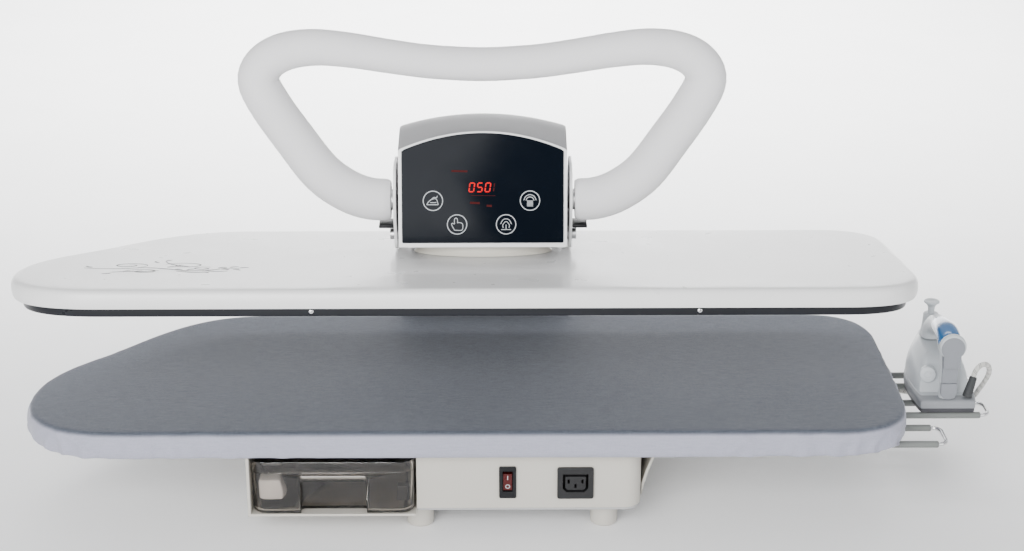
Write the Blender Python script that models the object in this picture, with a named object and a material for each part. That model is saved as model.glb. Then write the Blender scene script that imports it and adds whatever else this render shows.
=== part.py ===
"""Steam ironing press with a self-levelling heated plate, a lever handle and a small steam iron.

Working frame: X runs along the board to its right end, Y from the board's front edge to the
rear, Z up from the surface that the feet stand on. The frame empty moves all of it so that the
origin is at the centre of the press's footprint.
"""
from math import asin, atan2, cos, degrees, pi, radians, sin, tan

import bmesh
import bpy
from mathutils import Matrix, Vector

MM = 0.001
GAP = 0.3 * MM

# Driving dimensions
BOARD_LENGTH = 904 * MM
BOARD_DEPTH = 320 * MM
BOARD_TOP = 121 * MM
BOARD_THICKNESS = 26 * MM
PLATE_SHIFT = 1 * MM
BOARD_SHIFT = 2.5 * MM        # the board stands a little further right than the plate
HEM_DROP = 3 * MM             # the cover hangs lower at the front and ends than over the housing
COVER_GROW = 3 * MM
FABRIC = 1.2 * MM

FRAME_X = -52.75 * MM
FRAME_Y = -176.3 * MM

BASE_LEFT, BASE_RIGHT = -48.5 * MM, 181 * MM
BASE_FRONT, BASE_REAR = 15.6 * MM, 375 * MM
BASE_BOTTOM, BASE_TOP = 26.4 * MM, 94.6 * MM
BAY_LEFT, BAY_FRONT, BAY_REAR = -219.5 * MM, 3 * MM, 250 * MM
WALL = 3 * MM
TANK_LEFT, TANK_RIGHT = -215.3 * MM, -50.3 * MM
TANK_FRONT, TANK_REAR = 2 * MM, 238 * MM
TANK_CORNER, TANK_REAR_CORNER = 14 * MM, 6 * MM
FOOT_RADIUS = 14 * MM
FOOT_CENTRES = {"front_left": (-46, 43), "front_right": (144, 43),
                "rear_left": (-190, 345), "rear_right": (150, 345)}

# Lever arm and levelling mechanism
HEAD_X = 19.5 * MM            # centre of the control head, arm and handle
PLATE_TILT = radians(8.75)
PLATE_FRONT_Y, PLATE_FRONT_Z = -23.5 * MM, 282.6 * MM
PLATE_PACK = 29 * MM          # from the shell's top edge to the sole's face
CLOSED_GAP = 0.8 * MM
PIVOT_V, PIVOT_W = 200 * MM, 18 * MM
LEVEL_V, LEVEL_W = 263 * MM, 100 * MM
HINGE_Y = 350 * MM
HEAD_HALF = 87 * MM
HEAD_LEAN = tan(radians(3.25))
CHEEK_INNER, CHEEK_OUTER = 90 * MM, 93 * MM
EAR_INNER, EAR_OUTER = 78 * MM, 83 * MM
PIN_RADIUS = 8 * MM
SPRING_HALF = 62 * MM
HANDLE_Y, HANDLE_Z = 172 * MM, 309.5 * MM

# Iron and its rest
IRON_X, IRON_HEEL_Y, IRON_SOLE_Z = 511 * MM, 115 * MM, 88.6 * MM
RAIL_Z = 84.6 * MM
RAIL_RADIUS = 2 * MM
SLEEVE_RADIUS = 3.5 * MM
RAIL_LOOPS = ((46, 86, 497), (118, 150, 556), (195, 225, 556))   # front y, rear y, end x
RAIL_START = 398 * MM
CORD_RADIUS = 2.75 * MM
COIL_CENTRE = (330 * MM, 318 * MM)
COIL_MID, COIL_HALF, COIL_HEIGHT = 30 * MM, 8.6 * MM, 14 * MM


def hinge_height(open_point, closed_point, y):
    """Height at y of the axis that carries a point from its open place to its closed one."""
    mid = (open_point + closed_point) / 2
    chord = open_point - closed_point
    return mid.y - chord.x / chord.y * (y - mid.x)


def plate_point(v, w):
    """World (y, z) of a point on the open plate: v along it from the front, w above its edge."""
    return Vector((PLATE_FRONT_Y + v * cos(PLATE_TILT) + w * sin(PLATE_TILT),
                   PLATE_FRONT_Z - v * sin(PLATE_TILT) + w * cos(PLATE_TILT)))


PLATE_CLOSED_Z = BOARD_TOP + CLOSED_GAP + PLATE_PACK
PIVOT = plate_point(PIVOT_V, PIVOT_W)
PIVOT_CLOSED = Vector((PIVOT_V, PLATE_CLOSED_Z + PIVOT_W))
HINGE = Vector((HINGE_Y, hinge_height(PIVOT, PIVOT_CLOSED, HINGE_Y)))
LEVEL = plate_point(LEVEL_V, LEVEL_W)
LEVEL_CLOSED = Vector((LEVEL_V, PLATE_CLOSED_Z + LEVEL_W))
LEVEL_HINGE = Vector((HINGE_Y, hinge_height(LEVEL, LEVEL_CLOSED, HINGE_Y)))
ARM_ANGLE = 2 * asin((PIVOT - PIVOT_CLOSED).length / 2 / (PIVOT - HINGE).length)
LINK_ANGLE = 2 * asin((LEVEL - LEVEL_CLOSED).length / 2 / (LEVEL - LEVEL_HINGE).length)


# ---------------------------------------------------------------- building blocks

def clear_scene():
    for thing in list(bpy.data.objects):
        bpy.data.objects.remove(thing, do_unlink=True)


def finish(name, colour, roughness=0.5, metallic=0.0, alpha=1.0):
    made = bpy.data.materials.new(name)
    made.use_nodes = True
    shader = made.node_tree.nodes["Principled BSDF"]
    shader.inputs["Base Color"].default_value = (*colour, 1.0)
    shader.inputs["Roughness"].default_value = roughness
    shader.inputs["Metallic"].default_value = metallic
    shader.inputs["Alpha"].default_value = alpha
    return made


def empty(name, location, parent=None, tilt=0.0, drawn_from=None):
    """An axis or frame. Its pieces are drawn in the working frame, unless drawn_from says else."""
    made = bpy.data.objects.new(name, None)
    made.location = location
    made.rotation_euler = (tilt, 0, 0)
    made.parent = parent
    made["drawn_from"] = location if drawn_from is None else drawn_from
    bpy.context.collection.objects.link(made)
    return made


def attach(made, parent):
    made.parent = parent
    made.location = -Vector(parent["drawn_from"])
    bpy.context.collection.objects.link(made)


def body(name, mesh_source, material, parent, guide=False):
    """Make an object from a bmesh and hang it on its parent empty."""
    bmesh.ops.recalc_face_normals(mesh_source, faces=mesh_source.faces)
    mesh = bpy.data.meshes.new(name)
    mesh_source.to_mesh(mesh)
    mesh_source.free()
    made = bpy.data.objects.new(name, mesh)
    attach(made, parent)
    if guide:
        made.hide_render = True
        made.display_type = "WIRE"
    else:
        mesh.materials.append(material)
        mesh.shade_smooth()
        mesh.set_sharp_from_angle(angle=radians(38))
    return made


def cut(target, tool, operation="DIFFERENCE"):
    modifier = target.modifiers.new(tool.name, "BOOLEAN")
    modifier.operation = operation
    modifier.solver = "EXACT"
    modifier.object = tool


def add_loft(mesh, rings, closed=False):
    """Join rings of points. The two end rings are capped, or joined to each other if closed."""
    rows = [[mesh.verts.new(point) for point in ring] for ring in rings]
    pairs = list(zip(rows, rows[1:]))
    if closed:
        pairs.append((rows[-1], rows[0]))
    for low, high in pairs:
        for i in range(len(low)):
            j = (i + 1) % len(low)
            mesh.faces.new((low[i], low[j], high[j], high[i]))
    if not closed:
        mesh.faces.new(rows[0])
        mesh.faces.new(rows[-1])
    return mesh


def loft(rings, closed=False):
    return add_loft(bmesh.new(), rings, closed)


def block(low, high, bevel=0.0, mesh=None):
    """A box from its low corner to its high one, with its edges rounded."""
    mesh = mesh or bmesh.new()
    low, high = Vector(low), Vector(high)
    made = bmesh.ops.create_cube(mesh, size=1.0)["verts"]
    for vert in made:
        vert.co = Vector((low[k] + (vert.co[k] + 0.5) * (high[k] - low[k]) for k in range(3)))
    if bevel:
        edges = list({edge for vert in made for edge in vert.link_edges})
        bmesh.ops.bevel(mesh, geom=edges, offset=bevel, segments=2, affect="EDGES", profile=0.5)
    return mesh


def circle(centre, radius, axis, sides=20, turn=0.0):
    """Points round a circle about the X, Y or Z axis."""
    first, second = {"X": (1, 2), "Y": (2, 0), "Z": (0, 1)}[axis]
    points = []
    for i in range(sides):
        point = Vector(centre)
        angle = turn + 2 * pi * i / sides
        point[first] += radius * cos(angle)
        point[second] += radius * sin(angle)
        points.append(point)
    return points


def rod(start, end, radius, axis, sides=20, bore=0.0, mesh=None):
    """A straight rod or, with a bore, a bush along one axis."""
    mesh = mesh or bmesh.new()
    rings = [circle(start, radius, axis, sides), circle(end, radius, axis, sides)]
    if bore:
        rings += [circle(end, bore, axis, sides), circle(start, bore, axis, sides)]
    return add_loft(mesh, rings, closed=bool(bore))


def turned(centre, profile, sides=24, mesh=None, closed=False):
    """A body turned about an upright axis from (radius, height) pairs."""
    rings = [circle(Vector(centre) + Vector((0, 0, z)), r, "Z", sides) for r, z in profile]
    return add_loft(mesh or bmesh.new(), rings, closed)


def bezier(start, lead, trail, end, steps):
    """Points on a cubic curve, without its last one."""
    points = []
    for i in range(steps):
        t = i / steps
        weights = ((1 - t) ** 3, 3 * t * (1 - t) ** 2, 3 * t * t * (1 - t), t ** 3)
        points.append(sum((Vector(p) * k for p, k in zip((start, lead, trail, end), weights)),
                          Vector((0,) * len(start))))
    return points


def smooth_path(route, per_leg):
    """A Catmull-Rom curve through the route's points."""
    route = [Vector(p) for p in route]
    padded = [2 * route[0] - route[1], *route, 2 * route[-1] - route[-2]]
    points = []
    for a, b, c, d in zip(padded, padded[1:], padded[2:], padded[3:]):
        points += bezier(b, b + (c - a) / 6, c - (d - b) / 6, c, per_leg)
    return points + [route[-1]]


def offset(outline, distance):
    """Move a closed outline of (x, y) points outwards, keeping its corners."""
    moved = []
    count = len(outline)
    for i, point in enumerate(outline):
        before = (point - outline[i - 1]).normalized()
        after = (outline[(i + 1) % count] - point).normalized()
        normal = Vector((before.y, -before.x)) + Vector((after.y, -after.x))
        moved.append(point + normal * (2 * distance / normal.length_squared))
    return moved


def arc(centre, radius, start, end, steps):
    """Points on an arc from start to end degrees, both included."""
    turn = [radians(start + (end - start) * i / steps) for i in range(steps + 1)]
    return [Vector((centre[0] + radius * cos(a), centre[1] + radius * sin(a))) for a in turn]


def level_ring(outline, z):
    return [Vector((p.x, p.y, z)) for p in outline]


def slab(outline, low, high, axis="Z"):
    """An outline drawn in the other two axes and given thickness along one."""
    if axis == "X":
        return loft([[Vector((x, p.x, p.y)) for p in outline] for x in (low, high)])
    return loft([level_ring(outline, z) for z in (low, high)])


def frames_along(path):
    """A pair of cross directions at each point of a path, carried along without twist."""
    tangents = []
    for i in range(len(path)):
        tangents.append((path[min(i + 1, len(path) - 1)] - path[max(i - 1, 0)]).normalized())
    side = tangents[0].orthogonal().normalized()
    pairs = []
    for tangent in tangents:
        side = (side - tangent * side.dot(tangent)).normalized()
        pairs.append((side, tangent.cross(side)))
    return pairs


def sweep(path, radii, sides, bore=None, mesh=None):
    """A round bar along a path, hollow if it has a bore."""
    pairs = frames_along(path)

    def ring(i, radius):
        side, up = pairs[i]
        turn = [2 * pi * k / sides for k in range(sides)]
        return [path[i] + side * radius * cos(a) + up * radius * sin(a) for a in turn]

    rings = [ring(i, radii[i]) for i in range(len(path))]
    if bore:
        rings += [ring(i, bore) for i in reversed(range(len(path)))]
    return add_loft(mesh or bmesh.new(), rings, closed=bool(bore))


# ---------------------------------------------------------------- shared outlines

def press_outline(grow=0.0, shift=0.0, steps=6):
    """Plan of the board and the plate: square at the right, tapered to a nose at the left."""
    half, depth = BOARD_LENGTH / 2, BOARD_DEPTH
    nose = (-half + 50 * MM, 198 * MM)
    corners = (
        ((half - 80 * MM, 0), (half - 25 * MM, 0), (half, 30 * MM), (half, 80 * MM)),
        ((half, depth - 75 * MM), (half, depth - 25 * MM), (half - 25 * MM, depth),
         (half - 65 * MM, depth)),
        ((-half + 210 * MM, depth), (-half + 125 * MM, depth), (-half + 85 * MM, 232 * MM), nose),
        (nose, (-half + 25 * MM, 172 * MM), (-half, 140 * MM), (-half, 95 * MM)),
        ((-half, 95 * MM), (-half, 35 * MM), (-half + 35 * MM, 0), (-half + 100 * MM, 0)),
    )
    points = []
    for start, lead, trail, end in corners:
        points += bezier(start, lead, trail, end, steps)
        if end is not nose and end != (-half, 95 * MM):
            points.append(Vector(end))
    return [p + Vector((shift, 0)) for p in offset(points, grow)]


def board_outline(grow):
    return press_outline(grow, BOARD_SHIFT)


def rounded_rectangle(low, high, radii, steps=4):
    """Outline with a radius at each corner: front left, front right, rear right, rear left."""
    (x0, y0), (x1, y1) = low, high
    spots = ((x0, y0, 1, 1, 180), (x1, y0, -1, 1, 270), (x1, y1, -1, -1, 0), (x0, y1, 1, -1, 90))
    points = []
    for (x, y, sx, sy, start), radius in zip(spots, radii):
        points += arc((x + sx * radius, y + sy * radius), radius, start, start + 90, steps)
    return points


# ---------------------------------------------------------------- base

def base_plan(inset=0.0):
    """L-shaped plan of the housing round the tank bay."""
    radius = 18 * MM
    corner = arc((BASE_RIGHT - radius, BASE_FRONT + radius), radius, 270, 360, 6)
    bay_edge = BAY_REAR + 2 * MM
    points = [Vector((BASE_LEFT, BASE_FRONT)), *corner, Vector((BASE_RIGHT, BASE_REAR)),
              Vector((BAY_LEFT, BASE_REAR)), Vector((BAY_LEFT, bay_edge)),
              Vector((BASE_LEFT, bay_edge))]
    return offset(points, -inset) if inset else points


def build_base(root, looks):
    cream = looks["cream"]
    housing = body("base_housing", loft([
        level_ring(base_plan(WALL + 2 * MM), BASE_TOP - WALL),
        level_ring(base_plan(WALL), BASE_TOP - 2 * WALL),
        level_ring(base_plan(WALL), BASE_BOTTOM + 2.5 * MM),
        level_ring(base_plan(), BASE_BOTTOM + 2.5 * MM),
        level_ring(base_plan(), BASE_TOP - 1 * MM),
        level_ring(base_plan(1 * MM), BASE_TOP)]), cream, root)
    for label, (x0, x1, z0, z1) in (("switch_hole", (37, 51.6, 43, 73.5)),
                                    ("socket_hole", (98, 128.5, 43, 72.5))):
        hole = block((x0 * MM, BASE_FRONT - 5 * MM, z0 * MM), (x1 * MM, BASE_FRONT + 9 * MM, z1 * MM))
        cut(housing, body(label, hole, None, root, guide=True))
    inlet_hole = block((-150 * MM, BASE_REAR - 8 * MM, 42 * MM), (-122 * MM, BASE_REAR + 5 * MM, 70 * MM))
    cut(housing, body("inlet_hole", inlet_hole, None, root, guide=True))

    cover = slab(base_plan(0.6 * MM), BASE_BOTTOM, BASE_BOTTOM + 2.2 * MM)
    body("base_cover", cover, looks["grey_steel"], root)

    r = FOOT_RADIUS
    for label, (x, y) in FOOT_CENTRES.items():
        foot = turned((x * MM, y * MM, 0), ((r - 1.5 * MM, 0), (r, 1.5 * MM), (r, BASE_BOTTOM - GAP)), 20)
        body(f"foot_{label}", foot, cream, root)

    flare = [Vector((182, 30)), Vector((184.5, 44)), Vector((189, 60)), Vector((195, 76)),
             Vector((200, 94)), Vector((197.4, 94)), Vector((192.6, 77.5)), Vector((186.4, 61)),
             Vector((182, 46))]
    rings = [[Vector((p.x * MM, y, p.y * MM)) for p in flare] for y in (36 * MM, 370 * MM)]
    body("side_panel", loft(rings), cream, root)

    floor_top = BASE_BOTTOM + 2.5 * MM
    left = BAY_LEFT
    section = [(left, BASE_BOTTOM), (BASE_LEFT - 0.6 * MM, BASE_BOTTOM), (BASE_LEFT - 0.6 * MM, floor_top),
               (left + WALL, floor_top), (left + WALL, BASE_TOP), (left, BASE_TOP)]
    bay = loft([[Vector((x, y, z)) for x, z in section] for y in (BAY_FRONT, BAY_REAR)])
    body("tank_bay", bay, cream, root)

    pump = block((-20 * MM, 180 * MM, 30 * MM), (20 * MM, 230 * MM, 62 * MM), 3 * MM)
    head = body("water_pump", pump, looks["black"], root)
    motor = rod((0, 228 * MM, 46 * MM), (0, 262 * MM, 46 * MM), 13 * MM, "Y", 16)
    cut(head, body("pump_motor", motor, None, root, guide=True), "UNION")
    hose = smooth_path([(p[0] * MM, p[1] * MM, p[2] * MM) for p in (
        (0, 179.4, 46), (0, 160, 46), (12, 146, 48), (40, 142, 52), (70, 150, 56),
        (92, 178, 60), (100, 230, 64), (100, 300, 66), (92, 340, 70), (80, 352, 80), (76, 354, 90.6))], 4)
    body("pump_hose", sweep(hose, [3 * MM] * len(hose), 8), looks["clear_grey"], root)
    build_electrics(root, looks)


def build_electrics(root, looks):
    face = BASE_FRONT
    bezel = slab(rounded_rectangle((35.6 * MM, 41 * MM), (53 * MM, 76 * MM), [1.5 * MM] * 4, 2),
                 face - 2.6 * MM, face - GAP)
    bezel.transform(Matrix(((1, 0, 0, 0), (0, 0, 1, 0), (0, 1, 0, 0), (0, 0, 0, 1))))
    frame = body("switch_bezel", bezel, looks["black"], root)
    can = block((37.6 * MM, face - 2 * MM, 43.6 * MM), (51 * MM, face + 24 * MM, 73 * MM))
    cut(frame, body("switch_can", can, None, root, guide=True), "UNION")
    well = block((39.2 * MM, face - 6 * MM, 48.4 * MM), (49.4 * MM, face + 12 * MM, 71 * MM))
    cut(frame, body("switch_well", well, None, root, guide=True))

    pivot = empty("switch_pivot", (44.3 * MM, face + 3 * MM, 59.7 * MM), root)
    profile = [(-3.4, 9.7), (-1.6, 0), (-0.6, -9.7), (7, -8), (9, 0), (7, 8)]
    rings = [[Vector((x, face + (y - 1.6) * MM, (59.7 + z) * MM)) for y, z in profile]
             for x in (39.8 * MM, 48.8 * MM)]
    body("switch_rocker", loft(rings), looks["red"], pivot)

    socket = slab(rounded_rectangle((94.7 * MM, 40.4 * MM), (131.7 * MM, 75 * MM), [2 * MM] * 4, 2),
                  face - 3 * MM, face - GAP)
    socket.transform(Matrix(((1, 0, 0, 0), (0, 0, 1, 0), (0, 1, 0, 0), (0, 0, 0, 1))))
    outlet = body("iron_socket", socket, looks["black"], root)
    can = block((99 * MM, face - 2 * MM, 43.6 * MM), (127.6 * MM, face + 26 * MM, 71.8 * MM))
    cut(outlet, body("socket_can", can, None, root, guide=True), "UNION")
    centre = (113.3, 57.8)
    groove = [Vector((centre[0] * MM, centre[1] * MM)) + Vector(p) * MM for p in (
        (-13, -6), (-9, -10), (9, -10), (13, -6), (13, 10), (-13, 10))]
    ring_out = [Vector((p.x, face - 8 * MM, p.y)) for p in groove]
    ring_in = [Vector((p.x, face + 15 * MM, p.y)) for p in groove]
    island = [Vector((p.x, 0, p.y)) for p in offset(groove, -2.6 * MM)]
    well = loft([ring_out, ring_in, [Vector((p.x, face + 15 * MM, p.z)) for p in island],
                 [Vector((p.x, face - 8 * MM, p.z)) for p in island]], closed=True)
    cut(outlet, body("socket_groove", well, None, root, guide=True))
    for label, dx, dz in (("left_slot", -7, 2), ("right_slot", 7, 2), ("earth_slot", 0, -3)):
        x, z = (centre[0] + dx) * MM, (centre[1] + dz) * MM
        slot = block((x - 1.1 * MM, face - 8 * MM, z - 2.2 * MM), (x + 1.1 * MM, face + 12 * MM, z + 2.2 * MM))
        cut(outlet, body(label, slot, None, root, guide=True))

    inlet = block((-152 * MM, BASE_REAR + GAP, 40 * MM), (-120 * MM, BASE_REAR + 3 * MM, 72 * MM), 0.8 * MM)
    mains = body("mains_inlet", inlet, looks["black"], root)
    can = block((-149 * MM, BASE_REAR - 26 * MM, 43 * MM), (-123 * MM, BASE_REAR + 2 * MM, 69 * MM))
    cut(mains, body("inlet_can", can, None, root, guide=True), "UNION")
    well = block((-147.5 * MM, BASE_REAR - 15 * MM, 47.5 * MM), (-124.5 * MM, BASE_REAR + 8 * MM, 64.5 * MM))
    cut(mains, body("inlet_well", well, None, root, guide=True))
    for label, x in (("inlet_pin_left", -143), ("inlet_pin_mid", -136), ("inlet_pin_right", -129)):
        pin = block(((x - 1) * MM, BASE_REAR - 16 * MM, 54 * MM), ((x + 1) * MM, BASE_REAR - 3 * MM, 58 * MM))
        cut(mains, body(label, pin, None, root, guide=True), "UNION")


# ---------------------------------------------------------------- water tank

def tank_plan(grow):
    return rounded_rectangle((TANK_LEFT - grow, TANK_FRONT - grow), (TANK_RIGHT + grow, TANK_REAR + grow),
                             [TANK_CORNER + grow] * 2 + [TANK_REAR_CORNER + grow] * 2, 4)


def tank_block(grow, low, high):
    """Body of the tank: rounded front and lower edges."""
    rings = [level_ring(tank_plan(grow - inset * MM), low + rise * MM) for inset, rise in ((3, 0), (1, 1.2), (0, 4))]
    rings.append(level_ring(tank_plan(grow), high))
    return loft(rings)


def build_tank(root, looks):
    slide = empty("tank_slide", (-132.8 * MM, 2 * MM, 60 * MM), root)
    smoke = looks["smoke"]
    bottom, seam, top = 29.3 * MM, 75 * MM, 88 * MM
    tank = body("water_tank", tank_block(0, bottom, seam), smoke, slide)
    x0, x1, rise = -165.5 * MM, -98.5 * MM, 65.7 * MM
    recess = body("finger_recess", block((x0, -5 * MM, 20 * MM), (x1, 15 * MM, rise), 3 * MM),
                  None, slide, guide=True)
    wall = 2.4 * MM
    grown = body("recess_inside", block((x0 - wall, -9 * MM, 16 * MM), (x1 + wall, 15 * MM + wall, rise + wall),
                                        3 * MM), None, slide, guide=True)
    cavity = body("tank_cavity", tank_block(-wall, bottom + wall, seam + 20 * MM), None, slide, guide=True)
    cut(cavity, grown)
    cut(tank, recess)
    cut(tank, cavity)

    lid = body("tank_lid", loft([
        level_ring(tank_plan(-wall), top - wall), level_ring(tank_plan(-wall), seam + GAP),
        level_ring(tank_plan(0), seam + GAP), level_ring(tank_plan(0), top - 1 * MM),
        level_ring(tank_plan(-1 * MM), top)]), smoke, slide)
    hole = rod((-130 * MM, 28 * MM, top - 9 * MM), (-130 * MM, 28 * MM, top + 9 * MM), 11 * MM, "Z", 24)
    cut(lid, body("filler_hole", hole, None, slide, guide=True))
    cap = turned((-130 * MM, 28 * MM, top), ((10.4 * MM, -4 * MM), (10.4 * MM, GAP), (13.5 * MM, GAP),
                                            (13.5 * MM, 3.6 * MM), (12.6 * MM, 4.5 * MM)))
    body("tank_cap", cap, smoke, slide)
    cartridge = block((-209 * MM, 14 * MM, 40 * MM), (-187 * MM, 44 * MM, 62 * MM), 2 * MM)
    body("tank_filter", cartridge, looks["white"], slide)


# ---------------------------------------------------------------- ironing board

def hem_ring(outline, z):
    """The cover's hem, lower in front of the hinge side."""
    start, run = 310 * MM, 30 * MM
    return [Vector((p.x, p.y, z - HEM_DROP * min(1.0, max(0.0, (start - p.y) / run)))) for p in outline]


def build_board(root, looks):
    low = BOARD_TOP - BOARD_THICKNESS
    tray = loft([level_ring(board_outline(-5 * MM), low + 2.4 * MM),
                 level_ring(board_outline(-3.5 * MM), low + 12 * MM),
                 level_ring(board_outline(-1.5 * MM), low + 12 * MM),
                 level_ring(board_outline(-1.5 * MM), low + 2 * MM),
                 level_ring(board_outline(-4 * MM), low)])
    body("board_tray", tray, looks["alloy"], root)
    under = low + 2.4 * MM + GAP
    pad = loft([level_ring(board_outline(-7 * MM), under),
                level_ring(board_outline(-4.2 * MM), under + 9 * MM),
                level_ring(board_outline(-3 * MM), under + 11 * MM),
                level_ring(board_outline(-2 * MM), BOARD_TOP - 6 * MM),
                level_ring(board_outline(-3.5 * MM), BOARD_TOP - 3 * MM),
                level_ring(board_outline(-8 * MM), BOARD_TOP - FABRIC - GAP)])
    body("foam_pad", pad, looks["felt"], root)
    grow = COVER_GROW
    cover = loft([level_ring(board_outline(-7 * MM), BOARD_TOP - FABRIC),
                  level_ring(board_outline(-1.6 * MM), BOARD_TOP - 3 * MM),
                  level_ring(board_outline(grow - FABRIC), BOARD_TOP - 7 * MM),
                  hem_ring(board_outline(grow - FABRIC), low + 1 * MM),
                  hem_ring(board_outline(grow), low + 1 * MM),
                  level_ring(board_outline(grow), BOARD_TOP - 6.6 * MM),
                  level_ring(board_outline(0), BOARD_TOP - 2 * MM),
                  level_ring(board_outline(-6 * MM), BOARD_TOP)])
    body("board_cover", cover, looks["cloth"], root)


# ---------------------------------------------------------------- iron rest

def loop_path(front, rear, end):
    """One hairpin of the rest: out along the front rail, round the end, back along the rear."""
    radius = 9 * MM
    corners = arc((end - radius, front + radius), radius, 270, 360, 5)
    corners += arc((end - radius, rear - radius), radius, 0, 90, 5)
    sleeve_end = end - radius - 0.6 * MM
    plan = [Vector((RAIL_START, front)), Vector((sleeve_end, front)), *corners,
            Vector((sleeve_end, rear)), Vector((RAIL_START, rear))]
    return [Vector((p.x, p.y, RAIL_Z)) for p in plan]


def build_rest(root, looks):
    """Three sleeved hairpins welded into a bracket under the board."""
    bracket = block((RAIL_START - 2 * MM, 36 * MM, RAIL_Z - 5 * MM), (RAIL_START + 20 * MM, 235 * MM, 94.6 * MM),
                    1 * MM)
    rest = body("iron_rest", bracket, looks["grey_rubber"], root)
    for front, rear, end in RAIL_LOOPS:
        path = loop_path(front * MM, rear * MM, end * MM)
        sleeved = (end - 9.5) * MM
        radii = [SLEEVE_RADIUS if p.x < sleeved else RAIL_RADIUS for p in path]
        wire = body("hairpin", sweep(path, radii, 12), None, root, guide=True)
        cut(rest, wire, "UNION")


# ---------------------------------------------------------------- rear hinge

def build_tower(root, looks):
    z0, ear_top = BASE_TOP + GAP, LEVEL_HINGE.y
    outline = [Vector((336 * MM, z0)), Vector((372 * MM, z0)), Vector((372 * MM, ear_top - 10 * MM)),
               *arc((HINGE_Y, ear_top), 14 * MM, 20, 180, 6)]
    tower = body("hinge_tower", slab(outline, HEAD_X - EAR_OUTER, HEAD_X - EAR_INNER, "X"),
                 looks["grey_steel"], root)
    right = slab(outline, HEAD_X + EAR_INNER, HEAD_X + EAR_OUTER, "X")
    cut(tower, body("right_ear", right, None, root, guide=True), "UNION")
    back = block((HEAD_X - EAR_OUTER + 1 * MM, 368 * MM, z0), (HEAD_X + EAR_OUTER - 1 * MM, 371.5 * MM, 230 * MM))
    cut(tower, body("tower_back", back, None, root, guide=True), "UNION")
    bore = rod((HEAD_X - 120 * MM, *HINGE), (HEAD_X + 120 * MM, *HINGE), PIN_RADIUS + GAP, "X", 20)
    cut(tower, body("hinge_bore", bore, None, root, guide=True))
    shaft = rod((HEAD_X - 87 * MM, *LEVEL_HINGE), (HEAD_X + 87 * MM, *LEVEL_HINGE), 5 * MM, "X", 16)
    cut(tower, body("link_shaft", shaft, None, root, guide=True), "UNION")

    pin = rod((HEAD_X - 98 * MM, *HINGE), (HEAD_X + 98 * MM, *HINGE), PIN_RADIUS, "X", 20)
    body("hinge_pin", pin, looks["chrome"], root)

    turns, steps, path = 10, 11, []
    for i in range(turns * steps + 1):
        a = 2 * pi * i / steps
        x = HEAD_X + SPRING_HALF * (2 * i / (turns * steps) - 1)
        path.append(Vector((x, HINGE.x + 15.5 * MM * cos(a), HINGE.y + 15.5 * MM * sin(a))))
    body("counter_spring", sweep(path, [2.2 * MM] * len(path), 6), looks["steel"], root)

    half, rear = CHEEK_OUTER + 5 * MM, 376.5 * MM
    plan = [Vector((HEAD_X - half, 334 * MM)), *arc((HEAD_X - half + 12 * MM, rear - 12 * MM), 12 * MM, 180, 90, 4),
            *arc((HEAD_X + half - 12 * MM, rear - 12 * MM), 12 * MM, 90, 0, 4), Vector((HEAD_X + half, 334 * MM))]
    plan += [p for p in reversed(inner_wall(plan, 2.5 * MM))]
    body("tower_cover", slab(plan, BASE_TOP + GAP, 222 * MM), looks["cream"], root)


def inner_wall(plan, thickness):
    """The same open line moved inwards, for a bent sheet."""
    closed = offset(plan, thickness)
    closed[0] = Vector((plan[0].x + thickness, plan[0].y))
    closed[-1] = Vector((plan[-1].x - thickness, plan[-1].y))
    return closed


# ---------------------------------------------------------------- lever arm

def cheek_outline():
    hinge, pivot = HINGE, PIVOT
    lift = pivot.y - 149.0 * MM
    ear = [Vector((238, 195)), Vector((212, 222)), Vector((203, 226)), Vector((170, 226)),
           Vector((162, 222)), Vector((150, 200)), Vector((149, 175))]
    return [*arc(hinge, 20 * MM, -95, 70, 8), *[Vector((p.x * MM, p.y * MM + lift)) for p in ear],
            *arc(pivot, 15.2 * MM, 180, 262, 5)]


def build_arm(root, looks):
    arm = empty("arm_hinge", (HEAD_X, *HINGE), root)
    arm["travel"] = ARM_ANGLE
    for label, side in (("left", -1), ("right", 1)):
        spans = sorted((HEAD_X + side * CHEEK_INNER, HEAD_X + side * CHEEK_OUTER))
        cheek = body(f"arm_plate_{label}", slab(cheek_outline(), *spans, "X"), looks["white"], arm)
        for hole, centre, radius in (("hinge_eye", HINGE, PIN_RADIUS + 0.1 * MM),
                                     ("plate_eye", PIVOT, 6.1 * MM)):
            bore = rod((spans[0] - 9 * MM, *centre), (spans[1] + 9 * MM, *centre), radius, "X", 20)
            cut(cheek, body(hole, bore, None, arm, guide=True))
    bar_at = (290 * MM, HINGE.y + 16 * MM)
    inner = CHEEK_INNER - GAP
    body("arm_tie_bar", rod((HEAD_X - inner, *bar_at), (HEAD_X + inner, *bar_at), 7 * MM, "X", 16),
         looks["steel"], arm)
    build_handle(arm, looks)
    return arm


def handle_route():
    """Half of the handle from the head outwards, as offsets from its mounting, mirrored after."""
    half = [(93.4, 0), (96, 0), (118, 1), (142, 10), (168, 30), (194, 66), (217, 101), (229, 128), (221, 147),
            (200, 159), (170, 163), (135, 160), (98, 154), (60, 148.5), (28, 146)]
    right = [Vector((HEAD_X + x * MM, HANDLE_Y, HANDLE_Z + z * MM)) for x, z in half]
    left = [Vector((2 * HEAD_X - p.x, p.y, p.z)) for p in right]
    middle = Vector((HEAD_X, HANDLE_Y, HANDLE_Z + 145 * MM))
    return right + [middle] + left[::-1]


def grip_radius(point):
    """The foam is thinner along the top bar and thickest in the side bends."""
    reach = abs(point.x - HEAD_X) / (230 * MM)
    drop = max(0.0, 1 - (point.z - HANDLE_Z) / (150 * MM))
    return (17.2 + 3.6 * min(1.0, reach) ** 3 + 4.5 * drop) * MM


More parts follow.
